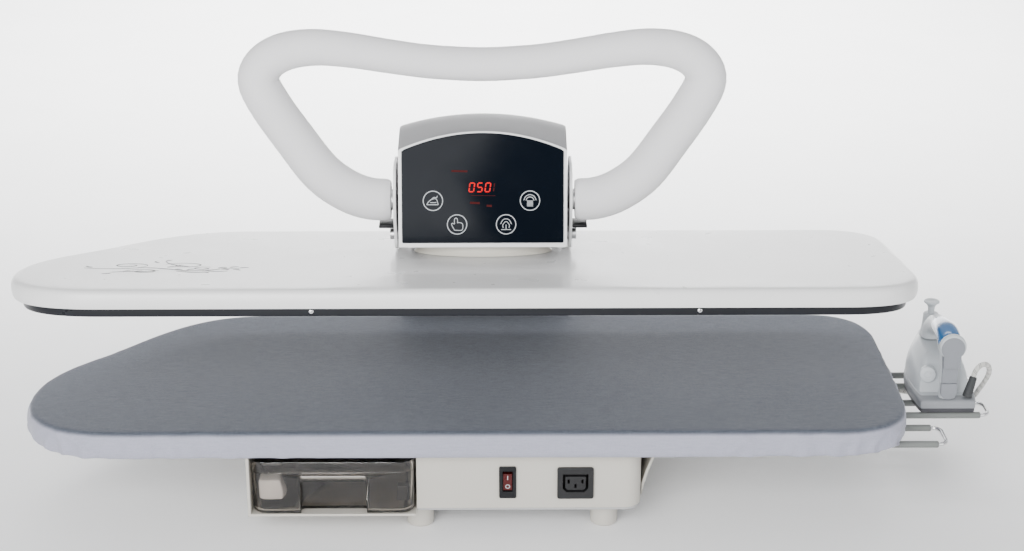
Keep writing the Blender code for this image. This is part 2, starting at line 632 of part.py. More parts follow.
def build_handle(arm, looks):
    path = smooth_path(handle_route(), 1)
    grip = path[1:-1]
    radii = [grip_radius(p) for p in grip]
    radii[0] = radii[-1] = radii[0] - 2 * MM
    body("handle_grip", sweep(grip, radii, 16, bore=11.8 * MM), looks["foam"], arm)
    body("handle_tube", sweep(path, [11 * MM] * len(path), 12, bore=9.6 * MM), looks["steel"], arm)
    for label, side in (("left", -1), ("right", 1)):
        x = HEAD_X + side * CHEEK_OUTER
        spans = sorted((x + side * GAP, x + side * 16 * MM))
        pad = block((spans[0], HANDLE_Y - 11 * MM, HANDLE_Z - 28.4 * MM),
                    (spans[1], HANDLE_Y + 11 * MM, HANDLE_Z - 24.6 * MM), 0.8 * MM)
        body(f"handle_clamp_{label}", pad, looks["black"], arm)


# ---------------------------------------------------------------- pressing plate

def plate_ring(grow, w):
    """Ring round the plate, in the levelling pivot's own frame."""
    return [Vector((p.x - HEAD_X, p.y - PIVOT_V, w - PIVOT_W)) for p in press_outline(grow, PLATE_SHIFT)]


def local(x, v, w):
    """A point of the plate assembly in the levelling pivot's frame, x from the head's centre."""
    return Vector((x, v - PIVOT_V, w - PIVOT_W))


def local_block(low, high, bevel=0.0, mesh=None):
    return block(local(*low), local(*high), bevel, mesh)


def build_plate(arm, looks):
    pivot = empty("plate_pivot", (0, PIVOT.x - HINGE.x, PIVOT.y - HINGE.y), arm, -PLATE_TILT, (0, 0, 0))
    shell = body("plate_shell", loft([plate_ring(g * MM, w * MM) for g, w in (
        (-7, -3), (-5, -6), (-5, -19), (-2, -19), (-0.4, -15), (0, -10.5), (-0.3, -5.5),
        (-1.6, -2.4), (-4, -0.7), (-8, 0))]), looks["shell"], pivot)
    duct = rod(local(0, PIVOT_V, -9 * MM), local(0, PIVOT_V, 9 * MM), 18 * MM, "Z", 24)
    cut(shell, body("duct_hole", duct, None, pivot, guide=True))
    body("plate_rim", loft([plate_ring(g * MM, w * MM) for g, w in (
        (-24, -15), (-24, -28.8), (-12, -28.8), (-11, -27.8), (-11, -19.4), (-5.4, -19.4), (-5.4, -15))],
        closed=True), looks["black"], pivot)
    body("soleplate", loft([plate_ring(-24.4 * MM, -18 * MM), plate_ring(-24.4 * MM, -28 * MM),
                            plate_ring(-25.4 * MM, -PLATE_PACK)]), looks["alloy"], pivot)

    for label, x in (("left", -145.5 * MM), ("right", 230.5 * MM)):
        seat = local(x - HEAD_X, 11 * MM - GAP, -23.2 * MM)
        rings = [circle(seat - Vector((0, depth * MM, 0)), r * MM, "Y", 12)
                 for depth, r in ((0, 2.6), (1.2, 2.4), (1.8, 1.5))]
        body(f"rim_screw_{label}", loft(rings), looks["chrome"], pivot)

    element = [(-300, 110), (-360, 110), (-385, 120), (-393, 140), (-380, 162), (-350, 180), (-300, 230),
               (-260, 262), (-200, 270), (250, 270), (340, 268), (375, 258), (392, 230), (394, 180),
               (385, 110), (368, 70), (330, 52), (250, 50), (-250, 50), (-330, 52), (-352, 64), (-340, 82),
               (-300, 86)]
    path = smooth_path([local(x * MM, v * MM, -13.4 * MM) for x, v in element], 2)
    body("heating_element", sweep(path, [4 * MM] * len(path), 8), looks["steel"], pivot)
    body("steam_chamber", local_block((-62 * MM, 172 * MM, -17.6 * MM), (62 * MM, 232 * MM, -5 * MM), 2 * MM),
         looks["alloy"], pivot)

    def ellipse(a, b, w):
        turn = [2 * pi * i / 36 for i in range(36)]
        return [local(a * MM * cos(t), PIVOT_V + b * MM * sin(t), w * MM) for t in turn]

    body("pedestal", loft([ellipse(58, 26, 0.3), ellipse(58, 26, 11.2), ellipse(66, 33, 11.2),
                           ellipse(68, 35, 7), ellipse(71, 37, 2.5), ellipse(73, 39, 0.3)], closed=True),
         looks["cream"], pivot)
    build_head(pivot, looks)


def head_ring(v, half, bottom, corner, apex, lean=True, steps=10):
    """Section of the control head: flat foot, upright sides, arched top."""
    r = 1.6 * MM
    sides = [(-half, bottom + r), (-half + 0.3 * r, bottom + 0.3 * r), (-half + r, bottom), (half - r, bottom),
             (half - 0.3 * r, bottom + 0.3 * r), (half, bottom + r), (half, corner - r)]
    arch = []
    for i in range(steps + 1):
        x = half * (1 - 2 * i / steps) * 0.985
        arch.append((x, apex - (apex - corner) * (x / half) ** 2 - (r * 0.1 if abs(x) > 0.9 * half else 0)))
    points = sides + arch + [(-half, corner - r)]
    return [local(x, v + (HEAD_LEAN * (w - bottom) if lean else 0), w) for x, w in points]


def head_sections(sections):
    return [head_ring(v * MM, h * MM, b * MM, c * MM, a * MM, lean) for v, h, b, c, a, lean in sections]


def build_head(pivot, looks):
    shell = body("control_box", loft(head_sections((
        (156.2, 84.4, 14.2, 110, 129.2, True), (214, 84.4, 14.2, 128, 141, False),
        (243, 84.4, 14.2, 119, 131, False), (243, 87, 11.6, 121.6, 133.6, False),
        (232, 87, 11.6, 127, 139.6, False), (216, 87, 11.6, 130.4, 143.4, False),
        (200, 87, 11.6, 129, 142.6, False), (155.2, 87, 11.6, 113, 132, True),
        (153.5, 86, 12.6, 112, 131, True)))), looks["box"], pivot)
    slot = local_block((-46 * MM, 182 * MM, 5 * MM), (46 * MM, 218 * MM, 18 * MM))
    cut(shell, body("yoke_slot", slot, None, pivot, guide=True))
    bore = rod(local(-0.12, PIVOT_V, PIVOT_W), local(0.12, PIVOT_V, PIVOT_W), 6.6 * MM, "X", 20)
    cut(shell, body("yoke_bore", bore, None, pivot, guide=True))
    back = loft(head_sections(((243.3, 86.6, 12, 121.2, 133.2, False), (245, 86.6, 12, 121.2, 133.2, False),
                               (246, 85.6, 13, 120.2, 132.2, False))))
    body("control_box_back", back, looks["box"], pivot)
    glass = loft(head_sections(((153.2, 83.4, 16.6, 112, 130, True), (152.4, 83.4, 16.6, 112, 130, True),
                                (151.8, 82.8, 17.2, 111.4, 129.4, True))))
    body("panel_glass", glass, looks["glass"], pivot)
    body("display_board", local_block((-62 * MM, 172 * MM, 40 * MM), (62 * MM, 173.6 * MM, 104 * MM)),
         looks["green"], pivot)

    yoke = body("pivot_yoke", local_block((-82 * MM, 192 * MM, 15 * MM), (82 * MM, 208 * MM, 27 * MM), 1 * MM),
                looks["steel"], pivot)
    foot = local_block((-44 * MM, 186 * MM, GAP), (44 * MM, 214 * MM, 17 * MM))
    cut(yoke, body("yoke_foot", foot, None, pivot, guide=True), "UNION")
    stub = rod(local(-98 * MM, PIVOT_V, PIVOT_W), local(98 * MM, PIVOT_V, PIVOT_W), 6 * MM, "X", 20)
    cut(yoke, body("yoke_stub", stub, None, pivot, guide=True), "UNION")

    lug = body("link_lug", local_block((-13 * MM, 246.3 * MM, 84 * MM), (13 * MM, 249 * MM, 116 * MM)),
               looks["steel"], pivot)
    for side in (-1, 1):
        spans = sorted((side * 7.5 * MM, side * 11.5 * MM))
        ear = local_block((spans[0], 247 * MM, 90 * MM), (spans[1], LEVEL_V + 8 * MM, 110 * MM))
        cut(lug, body("lug_ear", ear, None, pivot, guide=True), "UNION")
    pin = rod(local(-14 * MM, LEVEL_V, LEVEL_W), local(14 * MM, LEVEL_V, LEVEL_W), 3.5 * MM, "X", 16)
    cut(lug, body("lug_pin", pin, None, pivot, guide=True), "UNION")


def build_link(root, looks):
    """Levelling link: its front eye is wide, so the pin can ride in it as the plate comes down."""
    pivot = empty("link_hinge", (HEAD_X, *LEVEL_HINGE), root)
    pivot["travel"] = LINK_ANGLE
    run = LEVEL - LEVEL_HINGE
    heading = degrees(atan2(run.y, run.x))
    outline = [*arc(LEVEL_HINGE, 10 * MM, heading + 100, heading + 260, 8),
               *arc(LEVEL, 9.8 * MM, heading - 100, heading + 100, 10)]
    link = body("levelling_link", slab(outline, HEAD_X - 6 * MM, HEAD_X + 6 * MM, "X"), looks["steel"], pivot)
    for label, centre, radius in (("rear_eye", LEVEL_HINGE, 5.1 * MM), ("front_eye", LEVEL, 6.8 * MM)):
        bore = rod((HEAD_X - 20 * MM, *centre), (HEAD_X + 20 * MM, *centre), radius, "X", 20)
        cut(link, body(label, bore, None, pivot, guide=True))


# ---------------------------------------------------------------- iron

def iron_plan(grow, cut_back=0.0):
    """Plan of the sole: flat heel, widest a third of the way along, pointed tip."""
    heel, wide, length = 29.5 * MM + grow, 34 * MM + grow, 152 * MM + grow
    right = [Vector((heel, -grow)), *bezier((heel + 2 * MM, 12 * MM), (wide, 30 * MM), (wide, 60 * MM),
                                            (24 * MM + grow, 108 * MM), 5),
             *bezier((24 * MM + grow, 108 * MM), (16 * MM + grow, 132 * MM), (7 * MM, length), (0, length), 4)]
    right = [Vector((p.x, cut_back + p.y * (1 - cut_back / length))) for p in right]
    left = [Vector((-p.x, p.y)) for p in reversed(right)]
    return right + [Vector((0, length))] + left


def iron_ring(grow, z, cut_back=0.0):
    return [Vector((IRON_X + p.x, IRON_HEEL_Y + p.y, IRON_SOLE_Z + z)) for p in iron_plan(grow, cut_back)]


def iron_at(x, y, z):
    return Vector((IRON_X + x * MM, IRON_HEEL_Y + y * MM, IRON_SOLE_Z + z * MM))


def build_iron(root, looks):
    lift = empty("iron_lift", iron_at(0, 60, 0), root)
    sole = loft([iron_ring(-1.5 * MM, 0), iron_ring(-0.5 * MM, 1 * MM), iron_ring(-0.5 * MM, 4.5 * MM)])
    body("iron_soleplate", sole, looks["dark_alloy"], lift)
    shell = loft([iron_ring(0, 4.8 * MM), iron_ring(0, 12 * MM), iron_ring(-2 * MM, 14 * MM),
                  iron_ring(-3 * MM, 14.4 * MM, 20 * MM), iron_ring(-3.5 * MM, 22 * MM, 24 * MM),
                  iron_ring(-6 * MM, 31 * MM, 29 * MM), iron_ring(-10 * MM, 39 * MM, 37 * MM),
                  iron_ring(-17 * MM, 44 * MM, 48 * MM)])
    body("iron_body", shell, looks["iron_white"], lift)

    def bar(stations):
        """Handle limb lofted through (y, z, half width, half height, pitch) stations."""
        rings = []
        for y, z, half, tall, pitch in stations:
            a = radians(pitch)
            ring = []
            for i in range(16):
                t = 2 * pi * i / 16
                across, up = half * cos(t), tall * sin(t)
                ring.append(iron_at(across, y - up * sin(a), z + up * cos(a)))
            rings.append(ring)
        return loft(rings)

    limb = bar(((10, 14.4, 8.8, 6.5, 90), (10, 34, 9.2, 6.5, 90), (11, 54, 9.8, 7.5, 80),
                (18, 72, 12, 10, 40), (34, 79, 11.5, 9.5, 6), (62, 75, 10.5, 9.5, -8), (84, 69, 10, 10, -20),
                (99, 58, 10.5, 10, -62), (103, 46, 11.1, 9.6, -90)))
    grip = body("iron_handle", limb, looks["iron_white"], lift)
    cap_rings = [circle(iron_at(0, y, 75.5), r * MM, "Y", 20) for y, r in ((3.4, 13), (0, 14.2), (-3, 12.6))]
    body("iron_handle_cap", loft(cap_rings), looks["iron_grey"], lift)

    knob_at = iron_at(0, 112, 60)
    press = empty("iron_button", knob_at - iron_at(0, 60, 0), lift, drawn_from=knob_at)
    button = turned(iron_at(0, 112, 0), ((3.6 * MM, 58 * MM), (3.6 * MM, 76 * MM), (8.4 * MM, 82 * MM),
                                         (8.6 * MM, 84 * MM), (7.4 * MM, 84.6 * MM)), 20)
    body("iron_knob", button, looks["iron_white"], press)
    column = turned(iron_at(0, 112, 0), ((11 * MM, 44.4 * MM), (9 * MM, 56 * MM), (8.4 * MM, 70 * MM)), 20)
    cut(grip, body("iron_front_post", column, None, lift, guide=True), "UNION")
    well = rod(iron_at(0, 112, 54), iron_at(0, 112, 90), 4.2 * MM, "Z", 20)
    cut(grip, body("knob_well", well, None, lift, guide=True))
    gland = [iron_at(*p) for p in GLAND_ROUTE]
    radii = [5.2 * MM, 4.8 * MM, 4.3 * MM, 3.8 * MM]
    body("iron_gland", sweep(gland, radii, 12), looks["dark_grey"], lift)
    build_cord(root, lift, looks)


GLAND_ROUTE = ((21, 7.5, 15.8), (22.6, 8.2, 22), (24.8, 9.6, 29), (27.2, 11.6, 36.5))
CORD_ROUTE = ((27.4, 11.7, 37.0), (28.4, 12.4, 41), (32.5, 14.5, 46.5), (39.5, 18.5, 48), (45.5, 24, 43),
              (48, 30, 33), (46, 36, 21), (42, 42, 9), (38, 48, -2), (31, 56, -9), (18, 67, -14),
              (2, 80, -17), (-18, 95, -18), (-42, 108, -21), (-66, 122, -33), (-84, 146, -58),
              (-92, 172, -78), (-97, 195, -85.2), (-103, 214, -85.85), (-112, 226, -85.85))
SPLIT = 10                    # the iron carries the cord up to this point of its route


def build_cord(root, lift, looks):
    route = [iron_at(*p) for p in CORD_ROUTE]
    route += [Vector((COIL_CENTRE[0] + 52 * MM, COIL_CENTRE[1] + 38 * MM, CORD_RADIUS)),
              Vector((COIL_CENTRE[0] + 25 * MM, COIL_CENTRE[1] + COIL_MID + COIL_HALF + CORD_RADIUS + 1 * MM,
                      CORD_RADIUS))]
    upper = smooth_path(route[:SPLIT + 1], 3)
    lower = smooth_path(route[SPLIT:], 3)
    lower[0] = lower[0] + (lower[1] - lower[0]).normalized() * 2 * GAP
    for name, path, parent in (("iron_cord_upper", upper, lift), ("iron_cord_run", lower, root)):
        cord_tube(name, path, looks["braid"], parent)
    x, y = COIL_CENTRE
    outer, inner = COIL_MID + COIL_HALF, COIL_MID - COIL_HALF
    ring = turned((x, y, 0), ((inner, 0.2 * MM), (outer, 0.2 * MM), (outer, COIL_HEIGHT), (inner, COIL_HEIGHT)),
                  28, closed=True)
    body("iron_cord_coil", ring, looks["braid"], root)
    tail = smooth_path([(x - 12 * MM, y - outer - CORD_RADIUS - 1 * MM, CORD_RADIUS),
                        (x - 36 * MM, y - outer - 3 * MM, CORD_RADIUS), (x - 58 * MM, y - 35 * MM, 5 * MM),
                        (x - 67.4 * MM, y - 23 * MM, 9 * MM), (x - 68 * MM, y - 11.5 * MM, 9.6 * MM)], 4)
    cord_tube("iron_cord_tail", tail, looks["braid"], root)
    plug = bmesh.new()
    block((x - 80 * MM, y - 11 * MM, 0.2 * MM), (x - 56 * MM, y + 24 * MM, 19 * MM), 4 * MM, plug)
    body("iron_plug", plug, looks["black"], root)


def cord_tube(name, path, material, parent):
    curve = bpy.data.curves.new(name, "CURVE")
    curve.dimensions = "3D"
    curve.bevel_depth = CORD_RADIUS
    curve.bevel_resolution = 2
    curve.use_fill_caps = True
    spline = curve.splines.new("POLY")
    spline.points.add(len(path) - 1)
    for knot, place in zip(spline.points, path):
        knot.co = (*place, 1.0)
    curve.materials.append(material)
    attach(bpy.data.objects.new(name, curve), parent)


# ---------------------------------------------------------------- colours and assembly

def make_looks():
    return {
        "cream": finish("cream_plastic", (0.62, 0.60, 0.55), 0.5),
        "shell": finish("plate_paint", (0.72, 0.71, 0.68), 0.35),
        "box": finish("head_plastic", (0.60, 0.60, 0.61), 0.45),
        "white": finish("white_paint", (0.82, 0.82, 0.82), 0.4),
        "foam": finish("handle_foam", (0.82, 0.81, 0.82), 0.85),
        "black": finish("black_plastic", (0.015, 0.015, 0.017), 0.4),
        "glass": finish("panel_black", (0.010, 0.014, 0.020), 0.15),
        "smoke": finish("smoked_plastic", (0.20, 0.18, 0.16), 0.15, alpha=0.6),
        "red": finish("rocker_red", (0.22, 0.01, 0.01), 0.3),
        "cloth": finish("cover_cloth", (0.26, 0.28, 0.34), 0.9),
        "felt": finish("pad_foam", (0.75, 0.73, 0.68), 0.95),
        "steel": finish("bright_steel", (0.62, 0.62, 0.63), 0.35, 1.0),
        "grey_steel": finish("painted_steel", (0.45, 0.45, 0.45), 0.5),
        "chrome": finish("chrome_wire", (0.75, 0.75, 0.76), 0.15, 1.0),
        "alloy": finish("cast_alloy", (0.60, 0.60, 0.61), 0.4, 1.0),
        "dark_alloy": finish("sole_coating", (0.05, 0.05, 0.055), 0.35, 0.6),
        "grey_rubber": finish("sleeve_rubber", (0.30, 0.32, 0.31), 0.6),
        "iron_white": finish("iron_shell", (0.66, 0.68, 0.70), 0.35),
        "iron_grey": finish("iron_grey", (0.36, 0.38, 0.41), 0.4),
        "dark_grey": finish("gland_rubber", (0.10, 0.10, 0.11), 0.6),
        "braid": finish("braided_cord", (0.60, 0.58, 0.55), 0.9),
        "green": finish("circuit_board", (0.02, 0.16, 0.06), 0.5),
        "clear_grey": finish("hose_silicone", (0.55, 0.56, 0.56), 0.4),
    }


def main():
    clear_scene()
    looks = make_looks()
    root = empty("frame", (FRAME_X, FRAME_Y, 0), drawn_from=(0, 0, 0))
    build_base(root, looks)
    build_tank(root, looks)
    build_board(root, looks)
    build_rest(root, looks)
    build_tower(root, looks)
    arm = build_arm(root, looks)
    build_plate(arm, looks)
    build_link(root, looks)
    build_iron(root, looks)


main()
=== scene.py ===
"""Finished looks of a steam ironing press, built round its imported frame.

The press has a padded board with a gathered cloth cover, a heated plate that swings down on a lever arm
with a foam handle, a control head, a smoked water tank that slides out of the base, and a small steam
iron on a sleeved wire rest. Lengths in the classes are millimetres in the maker's own layout: x runs along
the board to its square end, y from the user's side to the rear, z up from the table. The studio's are metres
in the frame.
"""
import logging
import math
import random
from dataclasses import dataclass, field
from enum import Enum
from functools import lru_cache
from typing import Callable, Optional, Sequence, Union

import bmesh
import bpy
from mathutils import Matrix, Vector


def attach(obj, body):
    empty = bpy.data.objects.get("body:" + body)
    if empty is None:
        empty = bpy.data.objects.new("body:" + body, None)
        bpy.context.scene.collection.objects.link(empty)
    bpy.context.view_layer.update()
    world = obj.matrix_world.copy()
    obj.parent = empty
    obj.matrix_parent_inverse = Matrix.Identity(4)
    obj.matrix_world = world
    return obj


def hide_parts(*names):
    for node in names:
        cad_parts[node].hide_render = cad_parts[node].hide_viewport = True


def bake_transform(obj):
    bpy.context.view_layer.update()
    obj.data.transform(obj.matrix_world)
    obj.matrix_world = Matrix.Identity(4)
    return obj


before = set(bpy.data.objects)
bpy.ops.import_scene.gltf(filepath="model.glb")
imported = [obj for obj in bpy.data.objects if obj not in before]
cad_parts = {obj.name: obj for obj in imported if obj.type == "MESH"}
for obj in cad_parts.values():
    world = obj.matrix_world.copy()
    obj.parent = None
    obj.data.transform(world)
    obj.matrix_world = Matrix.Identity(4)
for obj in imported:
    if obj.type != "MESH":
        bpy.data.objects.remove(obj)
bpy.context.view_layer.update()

MM = 0.001
UP = Vector((0, 0, 1))
EDGE_STEPS, BEVEL_ANGLE = 3, 30.0
WELD, FLAT_ANGLE = 0.005, 0.3
LAYOUT_SHIFT = Vector((-52.75, -176.3, 0.0))
TILT = math.radians(8.75)
PLATE_FRONT = Vector((0.0, -23.5, 282.6))
HEAD_X = 19.5
BOARD_LENGTH, BOARD_DEPTH, BOARD_SHIFT, PLATE_SHIFT = 904.0, 320.0, 2.5, 1.0
BOARD_TOP, OUTLINE_STEPS = 121.0, 22
IRON_PLACE = Vector((511.0, 115.0, 88.6))

log = logging.getLogger("ironing_press")
Place = Callable[[float, float, float], Vector]
Colour = tuple[float, float, float]


class Body(str, Enum):
    """The rigid bodies that pieces ride on."""

    BASE = "base"
    ROCKER = "rocker"
    ARM = "arm"
    PLATE = "plate"
    LINK = "link"
    TANK = "tank"
    IRON = "iron"
    KNOB = "knob"


# ---------------------------------------------------------------- places and outlines

def at(x: float, y: float, z: float) -> Vector:
    """Turn a place in the maker's layout into the frame's metres."""
    return (Vector((x, y, z)) + LAYOUT_SHIFT) * MM


def on_plate(x: float, v: float, w: float) -> Vector:
    """A place on the open plate: v along it from its front edge, w above its top face."""
    return at(x, PLATE_FRONT.y + v * math.cos(TILT) + w * math.sin(TILT),
              PLATE_FRONT.z - v * math.sin(TILT) + w * math.cos(TILT))


def on_head(x: float, v: float, w: float) -> Vector:
    """A place on the control head, with x from the head's centre line."""
    return on_plate(HEAD_X + x, v, w)


def on_iron(x: float, y: float, z: float) -> Vector:
    """A place on the iron: y from its heel to its tip, z above its sole."""
    return at(IRON_PLACE.x + x, IRON_PLACE.y + y, IRON_PLACE.z + z)


def bezier(knots: Sequence[Sequence[float]], steps: int) -> list[Vector]:
    """Points on a cubic curve, without its last one.

    Args:
        knots: the start, two handles and the end.
        steps: how many points to give.

    Returns:
        The points, from the start onwards.
    """
    points = []
    for i in range(steps):
        t = i / steps
        weights = ((1 - t) ** 3, 3 * t * (1 - t) ** 2, 3 * t * t * (1 - t), t ** 3)
        total = Vector((0.0,) * len(knots[0]))
        for knot, weight in zip(knots, weights):
            total += Vector(knot) * weight
        points.append(total)
    return points


def smooth_path(route: Sequence[Sequence[float]], per_leg: int) -> list[Vector]:
    """Run a smooth curve through a route.

    Args:
        route: the points to pass through, of any dimension.
        per_leg: points to give between two of the route's.

    Returns:
        Points along the curve, both ends included.
    """
    ends = [Vector(p) for p in route]
    padded = [2 * ends[0] - ends[1], *ends, 2 * ends[-1] - ends[-2]]
    points = []
    for a, b, c, d in zip(padded, padded[1:], padded[2:], padded[3:]):
        points += bezier((b, b + (c - a) / 6, c - (d - b) / 6, c), per_leg)
    return points + [ends[-1]]


def arc(centre: Sequence[float], radius: float, start: float, end: float, steps: int) -> list[Vector]:
    """Points on a flat arc.

    Args:
        centre: its centre.
        radius: its radius.
        start: first angle in degrees.
        end: last angle in degrees.
        steps: number of divisions.

    Returns:
        The points, both ends included.
    """
    turns = [math.radians(start + (end - start) * i / steps) for i in range(steps + 1)]
    return [Vector((centre[0] + radius * math.cos(a), centre[1] + radius * math.sin(a))) for a in turns]


def offset(outline: Sequence[Vector], distance: float) -> list[Vector]:
    """Move a closed flat outline outwards, keeping its corners.

    Args:
        outline: points in order, anticlockwise.
        distance: how far to move it.

    Returns:
        The moved outline.
    """
    moved = []
    for i, point in enumerate(outline):
        before = (point - outline[i - 1]).normalized()
        after = (outline[(i + 1) % len(outline)] - point).normalized()
        normal = Vector((before.y, -before.x)) + Vector((after.y, -after.x))
        moved.append(point + normal * (2 * distance / max(normal.length_squared, 1e-9)))
    return moved


def press_outline(grow: float, shift: float) -> list[Vector]:
    """Plan of the board and the plate: square at the right, tapered to a nose at the left.

    Args:
        grow: how far outside the nominal outline to go.
        shift: how far to the right to move it.

    Returns:
        The outline's points, anticlockwise.
    """
    half, depth = BOARD_LENGTH / 2, BOARD_DEPTH
    nose, tip = (-half + 50, 198.0), (-half, 95.0)
    bends = (
        ((half - 80, 0), (half - 25, 0), (half, 30), (half, 80)),
        ((half, depth - 75), (half, depth - 25), (half - 25, depth), (half - 65, depth)),
        ((-half + 210, depth), (-half + 125, depth), (-half + 85, 232), nose),
        (nose, (-half + 25, 172), (-half, 140), tip),
        (tip, (-half, 35), (-half + 35, 0), (-half + 100, 0)),
    )
    points: list[Vector] = []
    for knots in bends:
        points += bezier(knots, OUTLINE_STEPS)
        if knots[3] not in (nose, tip):
            points.append(Vector(knots[3]))
    return [p + Vector((shift, 0)) for p in offset(points, grow)]


def even_outline(outline: Sequence[Vector], count: int) -> list[Vector]:
    """Space a closed outline's points evenly.

    Args:
        outline: the outline.
        count: how many points to give.

    Returns:
        Evenly spaced points on it.
    """
    loop = [*outline, outline[0]]
    lengths = [(b - a).length for a, b in zip(loop, loop[1:])]
    step, points, leg, used = sum(lengths) / count, [], 0, 0.0
    for i in range(count):
        want = i * step
        while used + lengths[leg] < want:
            used += lengths[leg]
            leg += 1
        points.append(loop[leg].lerp(loop[leg + 1], (want - used) / lengths[leg]))
    return points


def rounded_rectangle(low: Sequence[float], high: Sequence[float], radii: Sequence[float],
                      steps: int = 8) -> list[Vector]:
    """Outline of a rectangle with rounded corners.

    Args:
        low: its lowest corner.
        high: its highest corner.
        radii: corner radii, anticlockwise from the lowest corner.
        steps: divisions of each corner.

    Returns:
        The outline's points, anticlockwise.
    """
    (x0, y0), (x1, y1) = low, high
    spots = ((x0, y0, 1, 1, 180), (x1, y0, -1, 1, 270), (x1, y1, -1, -1, 0), (x0, y1, 1, -1, 90))
    points = []
    for (x, y, sx, sy, start), radius in zip(spots, radii):
        points += arc((x + sx * radius, y + sy * radius), radius, start, start + 90, steps)
    return points


def eased(share: float) -> float:
    """A share from 0 to 1 with a slow start and a slow end."""
    return share * share * (3 - 2 * share)


# ---------------------------------------------------------------- shader maths

class Value:
    """A number socket of a shader that can stand in an expression."""

    def __init__(self, graph: "Graph", socket: bpy.types.NodeSocket) -> None:
        """Keep the socket and the graph it belongs to."""
        self.graph, self.socket = graph, socket

    def __add__(self, other: "Number") -> "Value":
        """The sum."""
        return self.graph.math("ADD", self, other)

    def __sub__(self, other: "Number") -> "Value":
        """The difference."""
        return self.graph.math("SUBTRACT", self, other)

    def __rsub__(self, other: "Number") -> "Value":
        """The difference, the other way round."""
        return self.graph.math("SUBTRACT", other, self)

    def __mul__(self, other: "Number") -> "Value":
        """The product."""
        return self.graph.math("MULTIPLY", self, other)

    __radd__ = __add__
    __rmul__ = __mul__

    def wave(self) -> "Value":
        """Its sine."""
        return self.graph.math("SINE", self, 0.0)

    def size(self) -> "Value":
        """Its absolute value."""
        return self.graph.math("ABSOLUTE", self, 0.0)

    def spread(self, low: float, high: float) -> "Value":
        """Stretch the range low to high smoothly over 0 to 1."""
        made = self.graph.node("ShaderNodeMapRange", {"interpolation_type": "SMOOTHSTEP"},
                               {"Value": self, "From Min": low, "From Max": high})
        return Value(self.graph, made.outputs["Result"])


Number = Union[Value, float]
Link = Union[Value, bpy.types.NodeSocket, float, Sequence[float]]


class Graph:
    """The nodes of one material, round its Principled shader."""

    def __init__(self, name: str) -> None:
        """Start a material of that name."""
        self.material = bpy.data.materials.new(name)
        self.material.use_nodes = True
        self.tree = self.material.node_tree
        self.shader = self.tree.nodes["Principled BSDF"]

    def node(self, kind: str, settings: Optional[dict] = None,
             sockets: Optional[dict] = None) -> bpy.types.Node:
        """Add a node.

        Args:
            kind: the node's type.
            settings: its own properties, set first.
            sockets: values or links for its inputs, by name or number.

        Returns:
            The node.
        """
        made = self.tree.nodes.new(kind)
        for key, value in (settings or {}).items():
            setattr(made, key, value)
        for key, value in (sockets or {}).items():
            self.plug(made.inputs[key], value)
        return made

    def plug(self, socket: bpy.types.NodeSocket, value: Link) -> None:
        """Give a socket a link or a value."""
        if isinstance(value, Value):
            value = value.socket
        if isinstance(value, bpy.types.NodeSocket):
            self.tree.links.new(value, socket)
        elif socket.type == "RGBA":
            socket.default_value = (*value, 1.0)
        else:
            socket.default_value = value

    def math(self, operation: str, first: Number, second: Number) -> Value:
        """The result of one Math node."""
        made = self.node("ShaderNodeMath", {"operation": operation}, {0: first, 1: second})
        return Value(self, made.outputs[0])

    def place(self, scale: Sequence[float] = (1.0, 1.0, 1.0)) -> bpy.types.NodeSocket:
        """The piece's own coordinates, stretched by a scale."""
        origin = self.node("ShaderNodeTexCoord").outputs["Object"]
        return self.node("ShaderNodeMapping", {}, {"Vector": origin, "Scale": tuple(scale)}).outputs[0]

    def noise(self, scale: float, detail: float = 2.0, vector: Optional[bpy.types.NodeSocket] = None,
              twist: float = 0.0) -> Value:
        """A cloudy pattern from 0 to 1.

        Args:
            scale: cells in a metre.
            detail: finer layers.
            vector: where to read it, or None for the piece's own place.
            twist: how far it is distorted.

        Returns:
            The pattern.
        """
        made = self.node("ShaderNodeTexNoise", {}, {"Vector": vector or self.place(), "Scale": scale,
                                                    "Detail": detail, "Distortion": twist})
        return Value(self, made.outputs[0])

    def cells(self, scale: float) -> Value:
        """Distance within a cell pattern."""
        made = self.node("ShaderNodeTexVoronoi", {"feature": "F1"}, {"Vector": self.place(), "Scale": scale})
        return Value(self, made.outputs["Distance"])

    def mix(self, factor: Number, first: Link, second: Link) -> bpy.types.NodeSocket:
        """Blend two colours."""
        made = self.node("ShaderNodeMix", {"data_type": "RGBA"}, {0: factor, 6: first, 7: second})
        return made.outputs[2]

    def relief(self, height: Number, depth: float) -> None:
        """Raise the surface by a pattern, depth in millimetres."""
        made = self.node("ShaderNodeBump", {}, {"Height": height, "Distance": depth * MM, "Strength": 1.0})
        self.plug(self.shader.inputs["Normal"], made.outputs[0])

    def set(self, **sockets: Link) -> None:
        """Set the shader's own sockets, named with underscores for spaces."""
        for name, value in sockets.items():
            self.plug(self.shader.inputs[name.replace("_", " ")], value)


def shade(colour: Colour, factor: float) -> Colour:
    """A colour made lighter or darker."""
    return tuple(min(1.0, c * factor) for c in colour)


# ---------------------------------------------------------------- finishes

